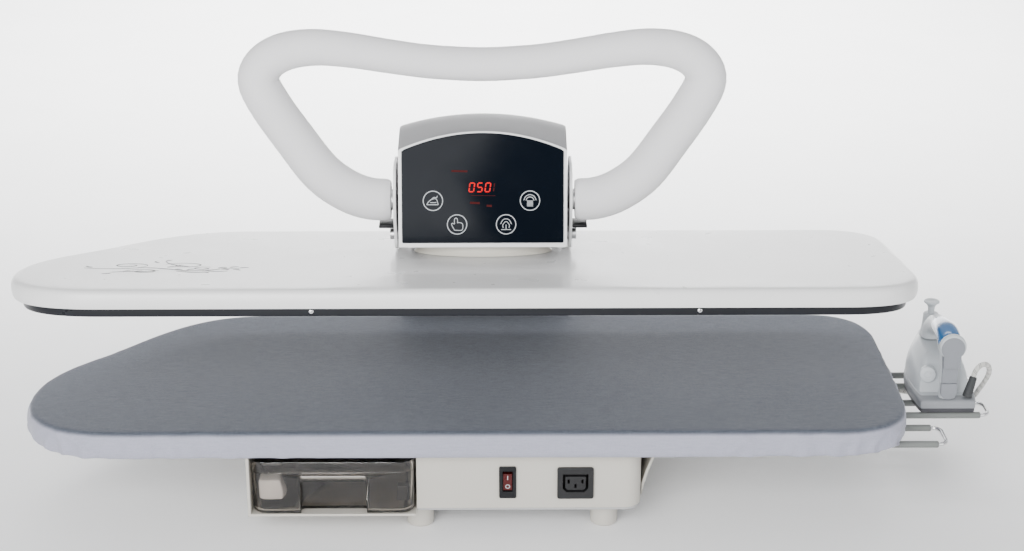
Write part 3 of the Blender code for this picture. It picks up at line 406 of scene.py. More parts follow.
@dataclass(frozen=True)
class Moulded:
    """Moulded plastic or sprayed paint: faint clouding, a fine grain and a little handling wear."""

    name: str
    colour: Colour
    roughness: float = 0.42
    grain: float = 0.5
    depth: float = 0.02
    cloud: float = 0.05
    coat: float = 0.0
    shine: float = 0.5

    def build(self) -> bpy.types.Material:
        """Make the material."""
        graph = Graph(self.name)
        cloud = graph.noise(7.0, 3.0).spread(0.3, 0.7)
        speck = graph.noise(420.0, 2.0).spread(0.42, 0.58)
        wear = graph.noise(38.0, 6.0, twist=0.4)
        dark = graph.mix(cloud, shade(self.colour, 1 - self.cloud), shade(self.colour, 1 + self.cloud))
        colour = graph.mix(speck * 0.12, dark, shade(self.colour, 0.93))
        graph.set(Base_Color=colour, Metallic=0.0, Coat_Weight=self.coat, Coat_Roughness=0.08,
                  Specular_IOR_Level=self.shine,
                  Roughness=self.roughness + (wear - 0.5) * 0.14)
        graph.relief(graph.noise(1000.0 / self.grain, 2.0) + graph.noise(90.0, 2.0) * 2.0, self.depth)
        return graph.material


@dataclass(frozen=True)
class Metal:
    """Bare or plated metal with a drawn or polished surface."""

    name: str
    colour: Colour
    roughness: float = 0.25
    stretch: tuple[float, float, float] = (40.0, 900.0, 900.0)
    depth: float = 0.01

    def build(self) -> bpy.types.Material:
        """Make the material."""
        graph = Graph(self.name)
        lines = graph.noise(1.0, 3.0, graph.place(self.stretch))
        stain = graph.noise(24.0, 4.0).spread(0.35, 0.75)
        graph.set(Base_Color=graph.mix(stain, shade(self.colour, 0.88), self.colour), Metallic=1.0,
                  Roughness=self.roughness + (lines - 0.5) * 0.16 + stain * 0.05)
        graph.relief(lines, self.depth)
        return graph.material


@dataclass(frozen=True)
class FoamRubber:
    """Closed-cell foam sleeve: open matt skin with tiny cells and a soft sheen."""

    name: str
    colour: Colour
    cell: float = 0.9

    def build(self) -> bpy.types.Material:
        """Make the material."""
        graph = Graph(self.name)
        cells = graph.cells(1000.0 / self.cell)
        handled = graph.noise(14.0, 4.0, twist=0.6).spread(0.45, 0.8)
        colour = graph.mix(handled * 0.5, self.colour, shade(self.colour, 0.93))
        graph.set(Base_Color=graph.mix(cells.spread(0.25, 0.7) * 0.12, colour, shade(self.colour, 0.8)),
                  Roughness=0.78 - handled * 0.08, Sheen_Weight=0.15, Sheen_Roughness=0.5)
        graph.relief(graph.noise(60.0, 3.0) * 0.9 - cells * 0.5, 0.16)
        return graph.material


@dataclass(frozen=True)
class Chambray:
    """Heathered cotton: uneven threads of two blues, and a paler skirt below the edge height, which is
    painted light standing for the hanging sides lit from the front.
    """

    name: str
    light: Colour
    deep: Colour
    # skirt: the colour below the edge height, painted light (paler, as though the hanging sides were lit
    # from the front)
    skirt: Colour
    edge: float = 0.1195
    band: tuple[float, float] = (0.0035, 0.0008)
    thread: float = 0.75

    def build(self) -> bpy.types.Material:
        """Make the material."""
        graph = Graph(self.name)
        weft = graph.noise(1.0, 3.0, graph.place((70.0, 900.0, 900.0)))
        warp = graph.noise(1.0, 2.0, graph.place((900.0, 90.0, 90.0)))
        slub = graph.noise(1.0, 2.0, graph.place((90.0, 700.0, 700.0))).spread(0.6, 0.78)
        fleck = graph.noise(800.0, 2.0)
        wash = graph.noise(5.0, 3.0)
        tone = weft * 0.40 + warp * 0.14 + fleck * 0.32 + wash * 0.14
        heather = graph.mix(tone.spread(0.36, 0.64), self.deep, self.light)
        # Painted light: below the edge height the cloth takes the paler skirt colour, as though lit from the
        # front.
        painted_lit_skirt = graph.mix(tone.spread(0.3, 0.7), shade(self.skirt, 0.86), self.skirt)
        height = graph.node("ShaderNodeSeparateXYZ", {}, {0: graph.place()})
        low, high = self.edge - self.band[0], self.edge + self.band[1]
        painted_lit_mask = 1.0 - Value(graph, height.outputs[2]).spread(low, high)
        colour = graph.mix(painted_lit_mask, heather, painted_lit_skirt)
        graph.set(Base_Color=graph.mix(slub * 0.25, colour, shade(self.light, 1.9)),
                  Roughness=0.82 - tone * 0.1, Sheen_Weight=0.25, Sheen_Roughness=0.4)
        axes = graph.node("ShaderNodeSeparateXYZ", {}, {0: graph.place()})
        turn = 2 * math.pi / (self.thread * MM)
        across = (Value(graph, axes.outputs[0]) * turn).wave()
        along = ((Value(graph, axes.outputs[1]) + Value(graph, axes.outputs[2])) * turn).wave()
        graph.relief(across * along * 0.5 + weft * 0.8 + warp * 0.5, 0.08)
        return graph.material


@dataclass(frozen=True)
class PadFelt:
    """Open foam and felt of the board's pad."""

    name: str
    colour: Colour

    def build(self) -> bpy.types.Material:
        """Make the material."""
        graph = Graph(self.name)
        fibre = graph.noise(900.0, 4.0, twist=1.5)
        patch = graph.noise(30.0, 3.0)
        graph.set(Base_Color=graph.mix(fibre * 0.5 + patch * 0.5, shade(self.colour, 0.8), self.colour),
                  Roughness=0.95, Sheen_Weight=0.3)
        graph.relief(fibre + patch, 0.3)
        return graph.material


@dataclass(frozen=True)
class Smoked:
    """Smoked clear plastic with fine moulding flow."""

    name: str
    colour: Colour
    roughness: float = 0.05
    clear: float = 1.0

    def build(self) -> bpy.types.Material:
        """Make the material."""
        graph = Graph(self.name)
        flow = graph.noise(22.0, 3.0, twist=1.2)
        graph.set(Base_Color=graph.mix(flow.spread(0.3, 0.7), shade(self.colour, 0.93), self.colour),
                  Roughness=self.roughness + flow * 0.04, Transmission_Weight=self.clear, IOR=1.49)
        graph.relief(flow, 0.05)
        return graph.material


@dataclass(frozen=True)
class Lamp:
    """A lit mark on the panel."""

    name: str
    colour: Colour
    power: float

    def build(self) -> bpy.types.Material:
        """Make the material."""
        graph = Graph(self.name)
        dots = graph.noise(900.0, 1.0)
        graph.set(Base_Color=shade(self.colour, 0.05), Roughness=0.5, Emission_Strength=self.power,
                  Specular_IOR_Level=0.1,
                  Emission_Color=graph.mix(dots.spread(0.3, 0.6), shade(self.colour, 0.75), self.colour))
        return graph.material


@dataclass(frozen=True)
class Braid:
    """Cotton braid of the iron's cord: crossing strands with dark tracer flecks."""

    name: str
    colour: Colour
    tracer: Colour
    pitch: float = 7.5
    strands: int = 3

    def build(self) -> bpy.types.Material:
        """Make the material."""
        graph = Graph(self.name)
        read = graph.node("ShaderNodeAttribute", {"attribute_name": CORD_LAYOUT})
        axes = graph.node("ShaderNodeSeparateXYZ", {}, {0: read.outputs["Vector"]})
        run = Value(graph, axes.outputs[0]) * (2 * math.pi / (self.pitch * MM))
        lap = Value(graph, axes.outputs[1]) * (2 * math.pi * self.strands)
        left, right = (run * self.strands + lap).wave(), (run * self.strands - lap).wave()
        tracer = (run + lap * (1 / self.strands)).wave().spread(0.5, 0.8) * left.spread(-0.3, 0.4)
        other = (run - lap * (1 / self.strands)).wave().spread(0.72, 0.9) * right.spread(-0.3, 0.4)
        fuzz = graph.noise(1500.0, 2.0)
        cotton = graph.mix(fuzz, shade(self.colour, 0.86), self.colour)
        graph.set(Base_Color=graph.mix((tracer + other * 0.7).spread(0.1, 0.9), cotton, self.tracer),
                  Roughness=0.88 - fuzz * 0.05, Sheen_Weight=0.2)
        graph.relief(left.size() + right.size() + fuzz * 0.3, 0.22)
        return graph.material


CORD_LAYOUT = "cord_layout"
CREAM = Moulded("cream_moulding", (0.47, 0.45, 0.405), 0.4, cloud=0.02)
CREAM_GLOSS = Moulded("cream_collar", (0.70, 0.67, 0.59), 0.3, cloud=0.02)
SHELL_PAINT = Moulded("plate_paint", (0.70, 0.70, 0.695), 0.3, coat=0.15, depth=0.002, cloud=0.012)
HEAD_GREY = Moulded("head_grey", (0.25, 0.25, 0.255), 0.42)
WHITE = Moulded("white_moulding", (0.83, 0.83, 0.83), 0.36)
GREY_PAINT = Moulded("grey_paint", (0.36, 0.36, 0.36), 0.45)
BLACK = Moulded("black_moulding", (0.007, 0.0075, 0.009), 0.4, cloud=0.2, shine=0.25)
RIM_BLACK = Moulded("rim_black", (0.006, 0.007, 0.010), 0.3, cloud=0.15, depth=0.004, shine=0.25)
SOCKET_GREY = Moulded("socket_black", (0.014, 0.014, 0.015), 0.45, cloud=0.15, shine=0.3)
PANEL = Moulded("panel_glass", (0.0015, 0.0032, 0.0065), 0.16, depth=0.002, shine=0.06)
ROCKER_RED = Moulded("rocker_red", (0.055, 0.0015, 0.002), 0.28, shine=0.4)
INK = Moulded("white_print", (0.42, 0.44, 0.46), 0.55)
SCROLL_INK = Moulded("grey_print", (0.055, 0.055, 0.06), 0.5)
FOAM = FoamRubber("handle_foam", (0.70, 0.695, 0.705))
# The cover's third colour is painted light: the skirt paler, as though its hanging sides were lit from the
# front.
COVER = Chambray("cover_cloth", (0.088, 0.101, 0.130), (0.046, 0.055, 0.075), (0.33, 0.335, 0.41))
PAD = PadFelt("pad_felt", (0.75, 0.73, 0.68))
TANK = Smoked("smoked_tank", (0.80, 0.75, 0.70))
BLUE_WINDOW = Moulded("blue_window", (0.025, 0.11, 0.27), 0.12, coat=0.8, cloud=0.3)
CHROME = Metal("bright_wire", (0.78, 0.78, 0.79), 0.14)
STEEL = Metal("plain_steel", (0.60, 0.60, 0.61), 0.32)
ALLOY = Metal("cast_alloy", (0.66, 0.66, 0.67), 0.34, stretch=(900.0, 30.0, 900.0))
SOLE_DARK = Metal("coated_sole", (0.10, 0.10, 0.11), 0.38)
SLEEVE = Moulded("heat_sleeve", (0.145, 0.155, 0.148), 0.6, grain=0.3, depth=0.05)
IRON_WHITE = Moulded("iron_shell", (0.44, 0.465, 0.485), 0.34, cloud=0.02)
IRON_GREY = Moulded("iron_grey", (0.195, 0.205, 0.225), 0.4, cloud=0.02)
IRON_SKIRT = Moulded("iron_skirt", (0.21, 0.22, 0.235), 0.42, cloud=0.02)
GLAND = Moulded("gland_rubber", (0.035, 0.037, 0.039), 0.6, grain=0.3, depth=0.04, shine=0.3)
CORD_BRAID = Braid("cord_braid", (0.62, 0.61, 0.58), (0.02, 0.02, 0.022))
CIRCUIT = Moulded("circuit_board", (0.02, 0.14, 0.05), 0.45, cloud=0.3)
HOSE = Moulded("silicone_hose", (0.55, 0.56, 0.56), 0.4)
DIGIT_RED = Lamp("digit_red", (1.0, 0.004, 0.003), 1.6)
DIM_RED = Lamp("dim_red", (0.5, 0.004, 0.006), 0.10)
FLOOR = Moulded("pale_floor", (0.93, 0.93, 0.93), 0.8, cloud=0.01, depth=0.0, shine=0.1)


@lru_cache(maxsize=None)
def dressed(finish: object) -> bpy.types.Material:
    """The material of a finish, made once."""
    return finish.build()


def stood(name: str, data: Optional[bpy.types.ID]) -> bpy.types.Object:
    """A new object of that data, in the scene."""
    made = bpy.data.objects.new(name, data)
    bpy.context.scene.collection.objects.link(made)
    return made


def meshed(name: str, shape: bmesh.types.BMesh, finish: object) -> bpy.types.Object:
    """A smooth-shaded object made from a finished mesh, which is freed."""
    mesh = bpy.data.meshes.new(name)
    shape.to_mesh(mesh)
    shape.free()
    mesh.materials.append(dressed(finish))
    mesh.shade_smooth()
    return stood(name, mesh)


# ---------------------------------------------------------------- mesh building

def cross_directions(path: Sequence[Vector]) -> list[tuple[Vector, Vector]]:
    """A pair of cross directions at each point of a path, carried along without twist."""
    last = len(path) - 1
    tangents = [(path[min(i + 1, last)] - path[max(i - 1, 0)]).normalized() for i in range(last + 1)]
    side, pairs = tangents[0].orthogonal().normalized(), []
    for tangent in tangents:
        side = (side - tangent * side.dot(tangent)).normalized()
        pairs.append((side, tangent.cross(side)))
    return pairs


class Shape:
    """A mesh in the making, in the frame's metres."""

    def __init__(self) -> None:
        """Start with no faces."""
        self.mesh = bmesh.new()

    def loft(self, rings: Sequence[Sequence[Vector]], closed: bool = False, caps: bool = True) -> "Shape":
        """Join rings of equal length.

        Args:
            rings: closed rings of points.
            closed: whether the last ring joins the first.
            caps: whether the two end rings are filled.

        Returns:
            This shape.
        """
        rows = [[self.mesh.verts.new(p) for p in ring] for ring in rings]
        pairs = list(zip(rows, rows[1:])) + ([(rows[-1], rows[0])] if closed else [])
        for low, high in pairs:
            for i in range(len(low)):
                j = (i + 1) % len(low)
                self.mesh.faces.new((low[i], low[j], high[j], high[i]))
        if caps and not closed:
            self.mesh.faces.new(rows[0])
            self.mesh.faces.new(rows[-1])
        return self

    def tube(self, path: Sequence[Vector], radii: Sequence[float], sides: int = 16,
             bore: float = 0.0) -> "Shape":
        """A round bar along a path, radii in millimetres, hollow if it has a bore."""
        pairs = cross_directions(path)

        def ring(i: int, radius: float) -> list[Vector]:
            side, up = pairs[i]
            turns = [2 * math.pi * k / sides for k in range(sides)]
            return [path[i] + (side * math.cos(a) + up * math.sin(a)) * radius * MM for a in turns]

        rings = [ring(i, radii[i]) for i in range(len(path))]
        if bore:
            rings += [ring(i, bore) for i in reversed(range(len(path)))]
        return self.loft(rings, closed=bool(bore))

    def turned(self, centre: Vector, axis: Vector, profile: Sequence[tuple[float, float]],
               sides: int = 40) -> "Shape":
        """A body turned about an axis from (radius, distance) pairs in millimetres."""
        axis = axis.normalized()
        side = axis.orthogonal().normalized()
        up = axis.cross(side)
        rings = []
        for radius, distance in profile:
            turns = [2 * math.pi * k / sides for k in range(sides)]
            rings.append([centre + (axis * distance + (side * math.cos(a) + up * math.sin(a)) * radius) * MM
                          for a in turns])
        return self.loft(rings)

    def block(self, low: Sequence[float], high: Sequence[float], bevel: float = 0.0,
              place: Place = at) -> "Shape":
        """A box between two corners, with rounded edges.

        Args:
            low: its lowest corner.
            high: its highest corner.
            bevel: edge radius in millimetres.
            place: which layout the corners are in.

        Returns:
            This shape.
        """
        made = bmesh.ops.create_cube(self.mesh, size=1.0)["verts"]
        spans = [(low[k], high[k] - low[k]) for k in range(3)]
        for vert in made:
            vert.co = place(*[start + (vert.co[k] + 0.5) * run for k, (start, run) in enumerate(spans)])
        if bevel:
            edges = list({edge for vert in made for edge in vert.link_edges})
            bmesh.ops.bevel(self.mesh, geom=edges, offset=bevel * MM, segments=EDGE_STEPS, affect="EDGES",
                            profile=0.5)
        return self

    def stroke(self, points: Sequence[Vector], width: float, place: Place, lift: float = 0.02,
               height: float = 0.05, taper: bool = False, closed: bool = False) -> "Shape":
        """A thin printed line along flat points.

        Args:
            points: the line's flat points in millimetres.
            width: its width.
            place: turns (first, second, lift) into metres.
            lift: gap under it.
            height: its thickness.
            taper: whether its ends come to a point.
            closed: whether it joins up.

        Returns:
            This shape.
        """
        rings, last = [], len(points) - 1
        for i, point in enumerate(points):
            before = points[i - 1] if closed or i else point
            after = points[(i + 1) % len(points)] if closed or i < last else point
            along = (after - before).normalized()
            normal = Vector((-along.y, along.x))
            half = width / 2 * (math.sin(math.pi * (0.06 + 0.88 * i / last)) ** 0.7 if taper else 1.0)
            left, right = point + normal * half, point - normal * half
            rings.append([place(left.x, left.y, lift), place(right.x, right.y, lift),
                          place(right.x, right.y, lift + height), place(left.x, left.y, lift + height)])
        return self.loft(rings, closed=closed)

    def copy_node(self, node: str) -> "Shape":
        """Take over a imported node's mesh, welded and with its flat faces whole."""
        self.mesh.from_mesh(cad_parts[node].data)
        bmesh.ops.remove_doubles(self.mesh, verts=self.mesh.verts, dist=WELD * MM)
        bmesh.ops.dissolve_limit(self.mesh, angle_limit=math.radians(FLAT_ANGLE), verts=self.mesh.verts,
                                 edges=self.mesh.edges)
        return self

    def build(self, name: str, finish: object, body: Body, replaces: Sequence[str] = (), slot: str = "",
              bevel: float = 0.0, sharp: float = 38.0) -> bpy.types.Object:
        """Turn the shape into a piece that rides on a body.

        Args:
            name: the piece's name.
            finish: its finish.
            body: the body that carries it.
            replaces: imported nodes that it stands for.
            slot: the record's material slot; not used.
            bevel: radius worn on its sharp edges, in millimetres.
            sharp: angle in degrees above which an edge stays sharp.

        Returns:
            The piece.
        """
        bmesh.ops.recalc_face_normals(self.mesh, faces=self.mesh.faces)
        piece = meshed(name, self.mesh, finish)
        piece.data.set_sharp_from_angle(angle=math.radians(sharp))
        if bevel:
            worn = piece.modifiers.new("worn_edges", "BEVEL")
            worn.width, worn.segments, worn.limit_method = bevel * MM, EDGE_STEPS, "ANGLE"
            worn.angle_limit = math.radians(BEVEL_ANGLE)
            worn.harden_normals = True
        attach(piece, body.value)
        if replaces:
            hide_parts(*replaces)
        log.info("built %s on %s", name, body.value)
        return piece


def recast(node: str, finish: object, body: Body, slot: str, bevel: float) -> bpy.types.Object:
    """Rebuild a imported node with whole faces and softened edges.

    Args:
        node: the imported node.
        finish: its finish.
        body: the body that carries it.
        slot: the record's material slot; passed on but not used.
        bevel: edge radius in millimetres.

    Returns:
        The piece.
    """
    return Shape().copy_node(node).build(f"{node}_made", finish, body, (node,), slot, bevel)


def recast_all(body: Body, rows: Sequence[tuple[str, object, str, float]]) -> None:
    """Recast the nodes of one body from (node, finish, slot, bevel) rows."""
    for node, finish, slot, bevel in rows:
        recast(node, finish, body, slot, bevel)


def repaint(node: str, finish: object) -> None:
    """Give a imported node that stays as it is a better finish."""
    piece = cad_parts[node]
    piece.data.materials.clear()
    piece.data.materials.append(dressed(finish))
    log.info("painted %s", node)


# ---------------------------------------------------------------- camera, light and floor

@dataclass
class Studio:
    """The floor, the soft lights and the camera, in the frame's metres."""

    stand: Vector = field(default_factory=lambda: Vector((-0.01525, -1.9942, 0.9642)))
    pitch: float = 20.4
    yaw: float = -0.355
    roll: float = -0.036
    lens: float = 70.3125
    bend_start: float = 2.2
    bend_radius: float = 1.5
    floor_half: float = 5.0
    floor_drop: float = 0.0002
    boxes: tuple = (("key", (-0.9, -2.5, 1.1), (0.0, 0.0, 0.2), 1.8, 112.0, 180.0),
                    ("fill", (1.8, -1.9, 0.8), (0.0, 0.0, 0.2), 1.8, 22.0, 180.0),
                    ("top", (0.1, 0.5, 2.6), (0.0, 0.1, 0.2), 2.4, 6.0, 180.0),
                    ("backdrop", (0.0, 1.5, 2.4), (0.0, 2.6, 0.0), 2.4, 170.0, 100.0))

    def camera(self) -> None:
        """Stand the camera in front of the press and slightly above it."""
        pitch, yaw, roll = (math.radians(a) for a in (self.pitch, self.yaw, self.roll))
        turn = Matrix.Rotation(yaw, 3, "Z")
        ahead = turn @ Vector((0, math.cos(pitch), -math.sin(pitch)))
        up = turn @ Vector((0, math.sin(pitch), math.cos(pitch)))
        right = turn @ Vector((1, 0, 0))
        cosine, sine = math.cos(roll), math.sin(roll)
        right, up = right * cosine + up * sine, up * cosine - right * sine
        made = bpy.data.cameras.new("camera")
        made.lens, made.sensor_width = self.lens, 36.0
        made.clip_start, made.clip_end = 0.05, 50.0
        camera = stood("camera", made)
        facing = Matrix((right, up, -ahead)).transposed().to_4x4()
        camera.matrix_world = Matrix.Translation(self.stand) @ facing
        bpy.context.scene.camera = camera

    def light(self) -> None:
        """Hang the soft boxes (name, place, aim, size, power, spread) in a pale surround."""
        for name, place, aim, size, power, spread in self.boxes:
            made = bpy.data.lights.new(name, "AREA")
            made.shape, made.size, made.energy = "SQUARE", size, power
            made.spread = math.radians(spread)
            lamp = stood(name, made)
            lamp.location = place
            lamp.rotation_euler = (Vector(aim) - Vector(place)).to_track_quat("-Z", "Y").to_euler()
        world = bpy.data.worlds.new("surround")
        world.use_nodes = True
        sky = world.node_tree.nodes["Background"]
        sky.inputs["Color"].default_value = (0.97, 0.98, 1.0, 1.0)
        sky.inputs["Strength"].default_value = 0.78
        bpy.context.scene.world = world

    def floor(self) -> None:
        """Lay a pale floor that curves up behind the press."""
        mesh = bmesh.new()
        start, radius = self.bend_start, self.bend_radius
        section = [(-4.0, 0.0), (start, 0.0)]
        section += [(p.x, p.y) for p in arc((start, radius), radius, -80, 0, 12)] + [(start + radius, 4.0)]
        rows = [[mesh.verts.new((x, y, z - self.floor_drop)) for y, z in section]
                for x in (-self.floor_half, self.floor_half)]
        for i in range(len(section) - 1):
            mesh.faces.new((rows[0][i], rows[1][i], rows[1][i + 1], rows[0][i + 1]))
        meshed("floor", mesh, FLOOR)

    def build(self) -> None:
        """Set up the whole studio."""
        self.camera()
        self.light()
        self.floor()


# ---------------------------------------------------------------- the iron's cord

@dataclass
class IronCord:
    """The iron's braided cord: out of its gland, down through the rest, and into a coil behind the base."""

    diameter: float = 5.5
    length: float = 1.76
    sides: int = 14
    route: tuple = ((27.4, 11.7, 37.0), (28.4, 12.4, 41), (32.5, 14.5, 46.5), (39.5, 18.5, 48),
                    (45.5, 24, 43), (48, 30, 33), (46, 36, 21), (42, 42, 9), (38, 48, -2), (31, 56, -9),
                    (18, 67, -14),
                    (2, 80, -17), (-18, 95, -18), (-42, 108, -21), (-66, 122, -33), (-84, 146, -58),
                    (-92, 172, -78), (-97, 195, -85.2), (-103, 214, -85.85), (-112, 226, -85.85))
    centre: tuple = (330.0, 318.0)
    middle: float = 30.0
    tail: tuple = ((-8, -41.9, 3.2), (-22, -42.6, 2.75), (-40, -41.5, 2.75), (-54, -37.5, 4.2),
                   (-64, -29.5, 7.4), (-67.6, -20.5, 9.3), (-68, -11.5, 9.6))
    laps: int = 3
    arrival: tuple = ((58.0, 39.0), (32.0, 44.5))
    wrap_steps: int = 14
    wrap_turn: float = 11.5
    plug_place: tuple = (-68.0, 6.5)

    def coil(self) -> list[Vector]:
        """The coil's centreline: three turns inwards on the table and three back out on top of them.

        Returns:
            Points in the layout's millimetres, from where the cord arrives.
        """
        steps, jog = 28, 6
        columns = [self.middle + self.diameter * k for k in (1, 0, -1)]
        layers = ((columns, self.diameter / 2 + 0.1), (columns[::-1], self.diameter * 1.5 + 0.4))
        points: list[Vector] = []
        laps = self.laps
        total = 2 * laps * steps
        for i in range(total + 1):
            lap, part = divmod(i, steps)
            lap = min(lap, 2 * laps - 1)
            part = part if i < total else steps
            radii, height = layers[lap // laps]
            here = radii[lap % laps]
            after = radii[lap % laps + 1] if lap % laps < laps - 1 else here
            share = eased(max(0.0, (part - (steps - jog)) / jog))
            rise = layers[1][1] - layers[0][1] if lap == laps - 1 else 0.0
            radius = here + (after - here) * share
            angle = math.radians(78) + 2 * math.pi * i / steps
            points.append(Vector((self.centre[0] + radius * math.cos(angle),
                                  self.centre[1] + radius * math.sin(angle), height + rise * share)))
        return points

    def path(self) -> list[Vector]:
        """The whole centreline in the frame's metres."""
        x, y = self.centre
        knots = [IRON_PLACE + Vector(p) for p in self.route]
        knots += [Vector((x + a, y + b, self.diameter / 2)) for a, b in self.arrival]
        coil = self.coil()
        leave = coil[-1]
        start = math.atan2(leave.y - y, leave.x - x)
        outer = self.middle + self.diameter
        wrap = []
        for i in range(1, self.wrap_steps + 1):
            angle = start + math.radians(self.wrap_turn * i)
            drop = eased(min(1.0, i / 12))
            radius = outer + (self.diameter + 0.5) * min(1.0, i / 7)
            wrap.append(Vector((x + radius * math.cos(angle), y + radius * math.sin(angle),
                                leave.z + (self.diameter / 2 - leave.z) * drop)))
        tail = [Vector((x + a, y + b, c)) for a, b, c in self.tail]
        run = smooth_path([*knots, coil[0]], 4)[:-1]
        points = [*run, *coil, *smooth_path([*wrap, *tail], 2)]
        return [at(*p) for p in points]

    def build(self) -> None:
        path = self.path()
        sides = self.sides
        shape = Shape().tube(path, [self.diameter / 2] * len(path), sides)
        layer = shape.mesh.loops.layers.float_vector.new(CORD_LAYOUT)
        along = [0.0]
        for a, b in zip(path, path[1:]):
            along.append(along[-1] + (b - a).length)
        for i, face in enumerate(shape.mesh.faces):
            ring, side = divmod(i, sides)
            if ring >= len(path) - 1:
                continue
            for loop, (row, lap) in zip(face.loops, ((0, 0), (0, 1), (1, 1), (1, 0))):
                loop[layer] = Vector((along[ring + row], (side + lap) / sides, 0.0))
        nodes = ("iron_cord_upper", "iron_cord_run", "iron_cord_coil", "iron_cord_tail")
        bmesh.ops.recalc_face_normals(shape.mesh, faces=shape.mesh.faces)
        cord = meshed("iron_cord", shape.mesh, CORD_BRAID)
        on_iron(0, 0, 40)
        on_iron(0, 0, -70)
        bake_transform(cord)
        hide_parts(*nodes)
        plug = self.plug()
        gland = self.gland()
        log.info("built the iron's cord, %.3f m", along[-1])

    def plug(self) -> bpy.types.Object:
        """The moulded appliance plug beside the coil."""
        x, y = (c + p for c, p in zip(self.centre, self.plug_place))
        plan = rounded_rectangle((-12, -17), (12, 18), (7, 7, 3, 3), 6)
        rings = []
        for grow, z in ((-2.2, 0.2), (-0.7, 0.9), (0, 2.8), (0, 16.4), (-0.7, 18.3), (-2.2, 19.0)):
            rings.append([at(x + p.x, y + p.y, z) for p in offset(plan, grow)])
        shape = Shape().loft(rings)
        for k in range(4):
            groove = y - 5.5 + 4.2 * k
            shape.block((x - 6, groove, 18.4), (x + 6, groove + 1.6, 19.0), 0.25)
        return shape.build("iron_plug_moulding", BLACK, Body.BASE, ("iron_plug",), "black_plastic")

    def gland(self) -> bpy.types.Object:
        """The ribbed rubber sleeve where the cord leaves the iron."""
        route = ((21, 7.5, 15.8), (22.6, 8.2, 22), (24.8, 9.6, 29), (27.2, 11.6, 36.5))
        path = [on_iron(*p) for p in smooth_path(route, 8)]
        last = len(path) - 1
        radii = [5.2 - 1.4 * i / last + (0.28 if i % 3 == 1 else 0.0) for i in range(last + 1)]
        shape = Shape().tube(path, radii, 24)
        return shape.build("iron_gland_sleeve", GLAND, Body.IRON, ("iron_gland",), "gland_rubber", sharp=60)


# ---------------------------------------------------------------- board, pad and cover

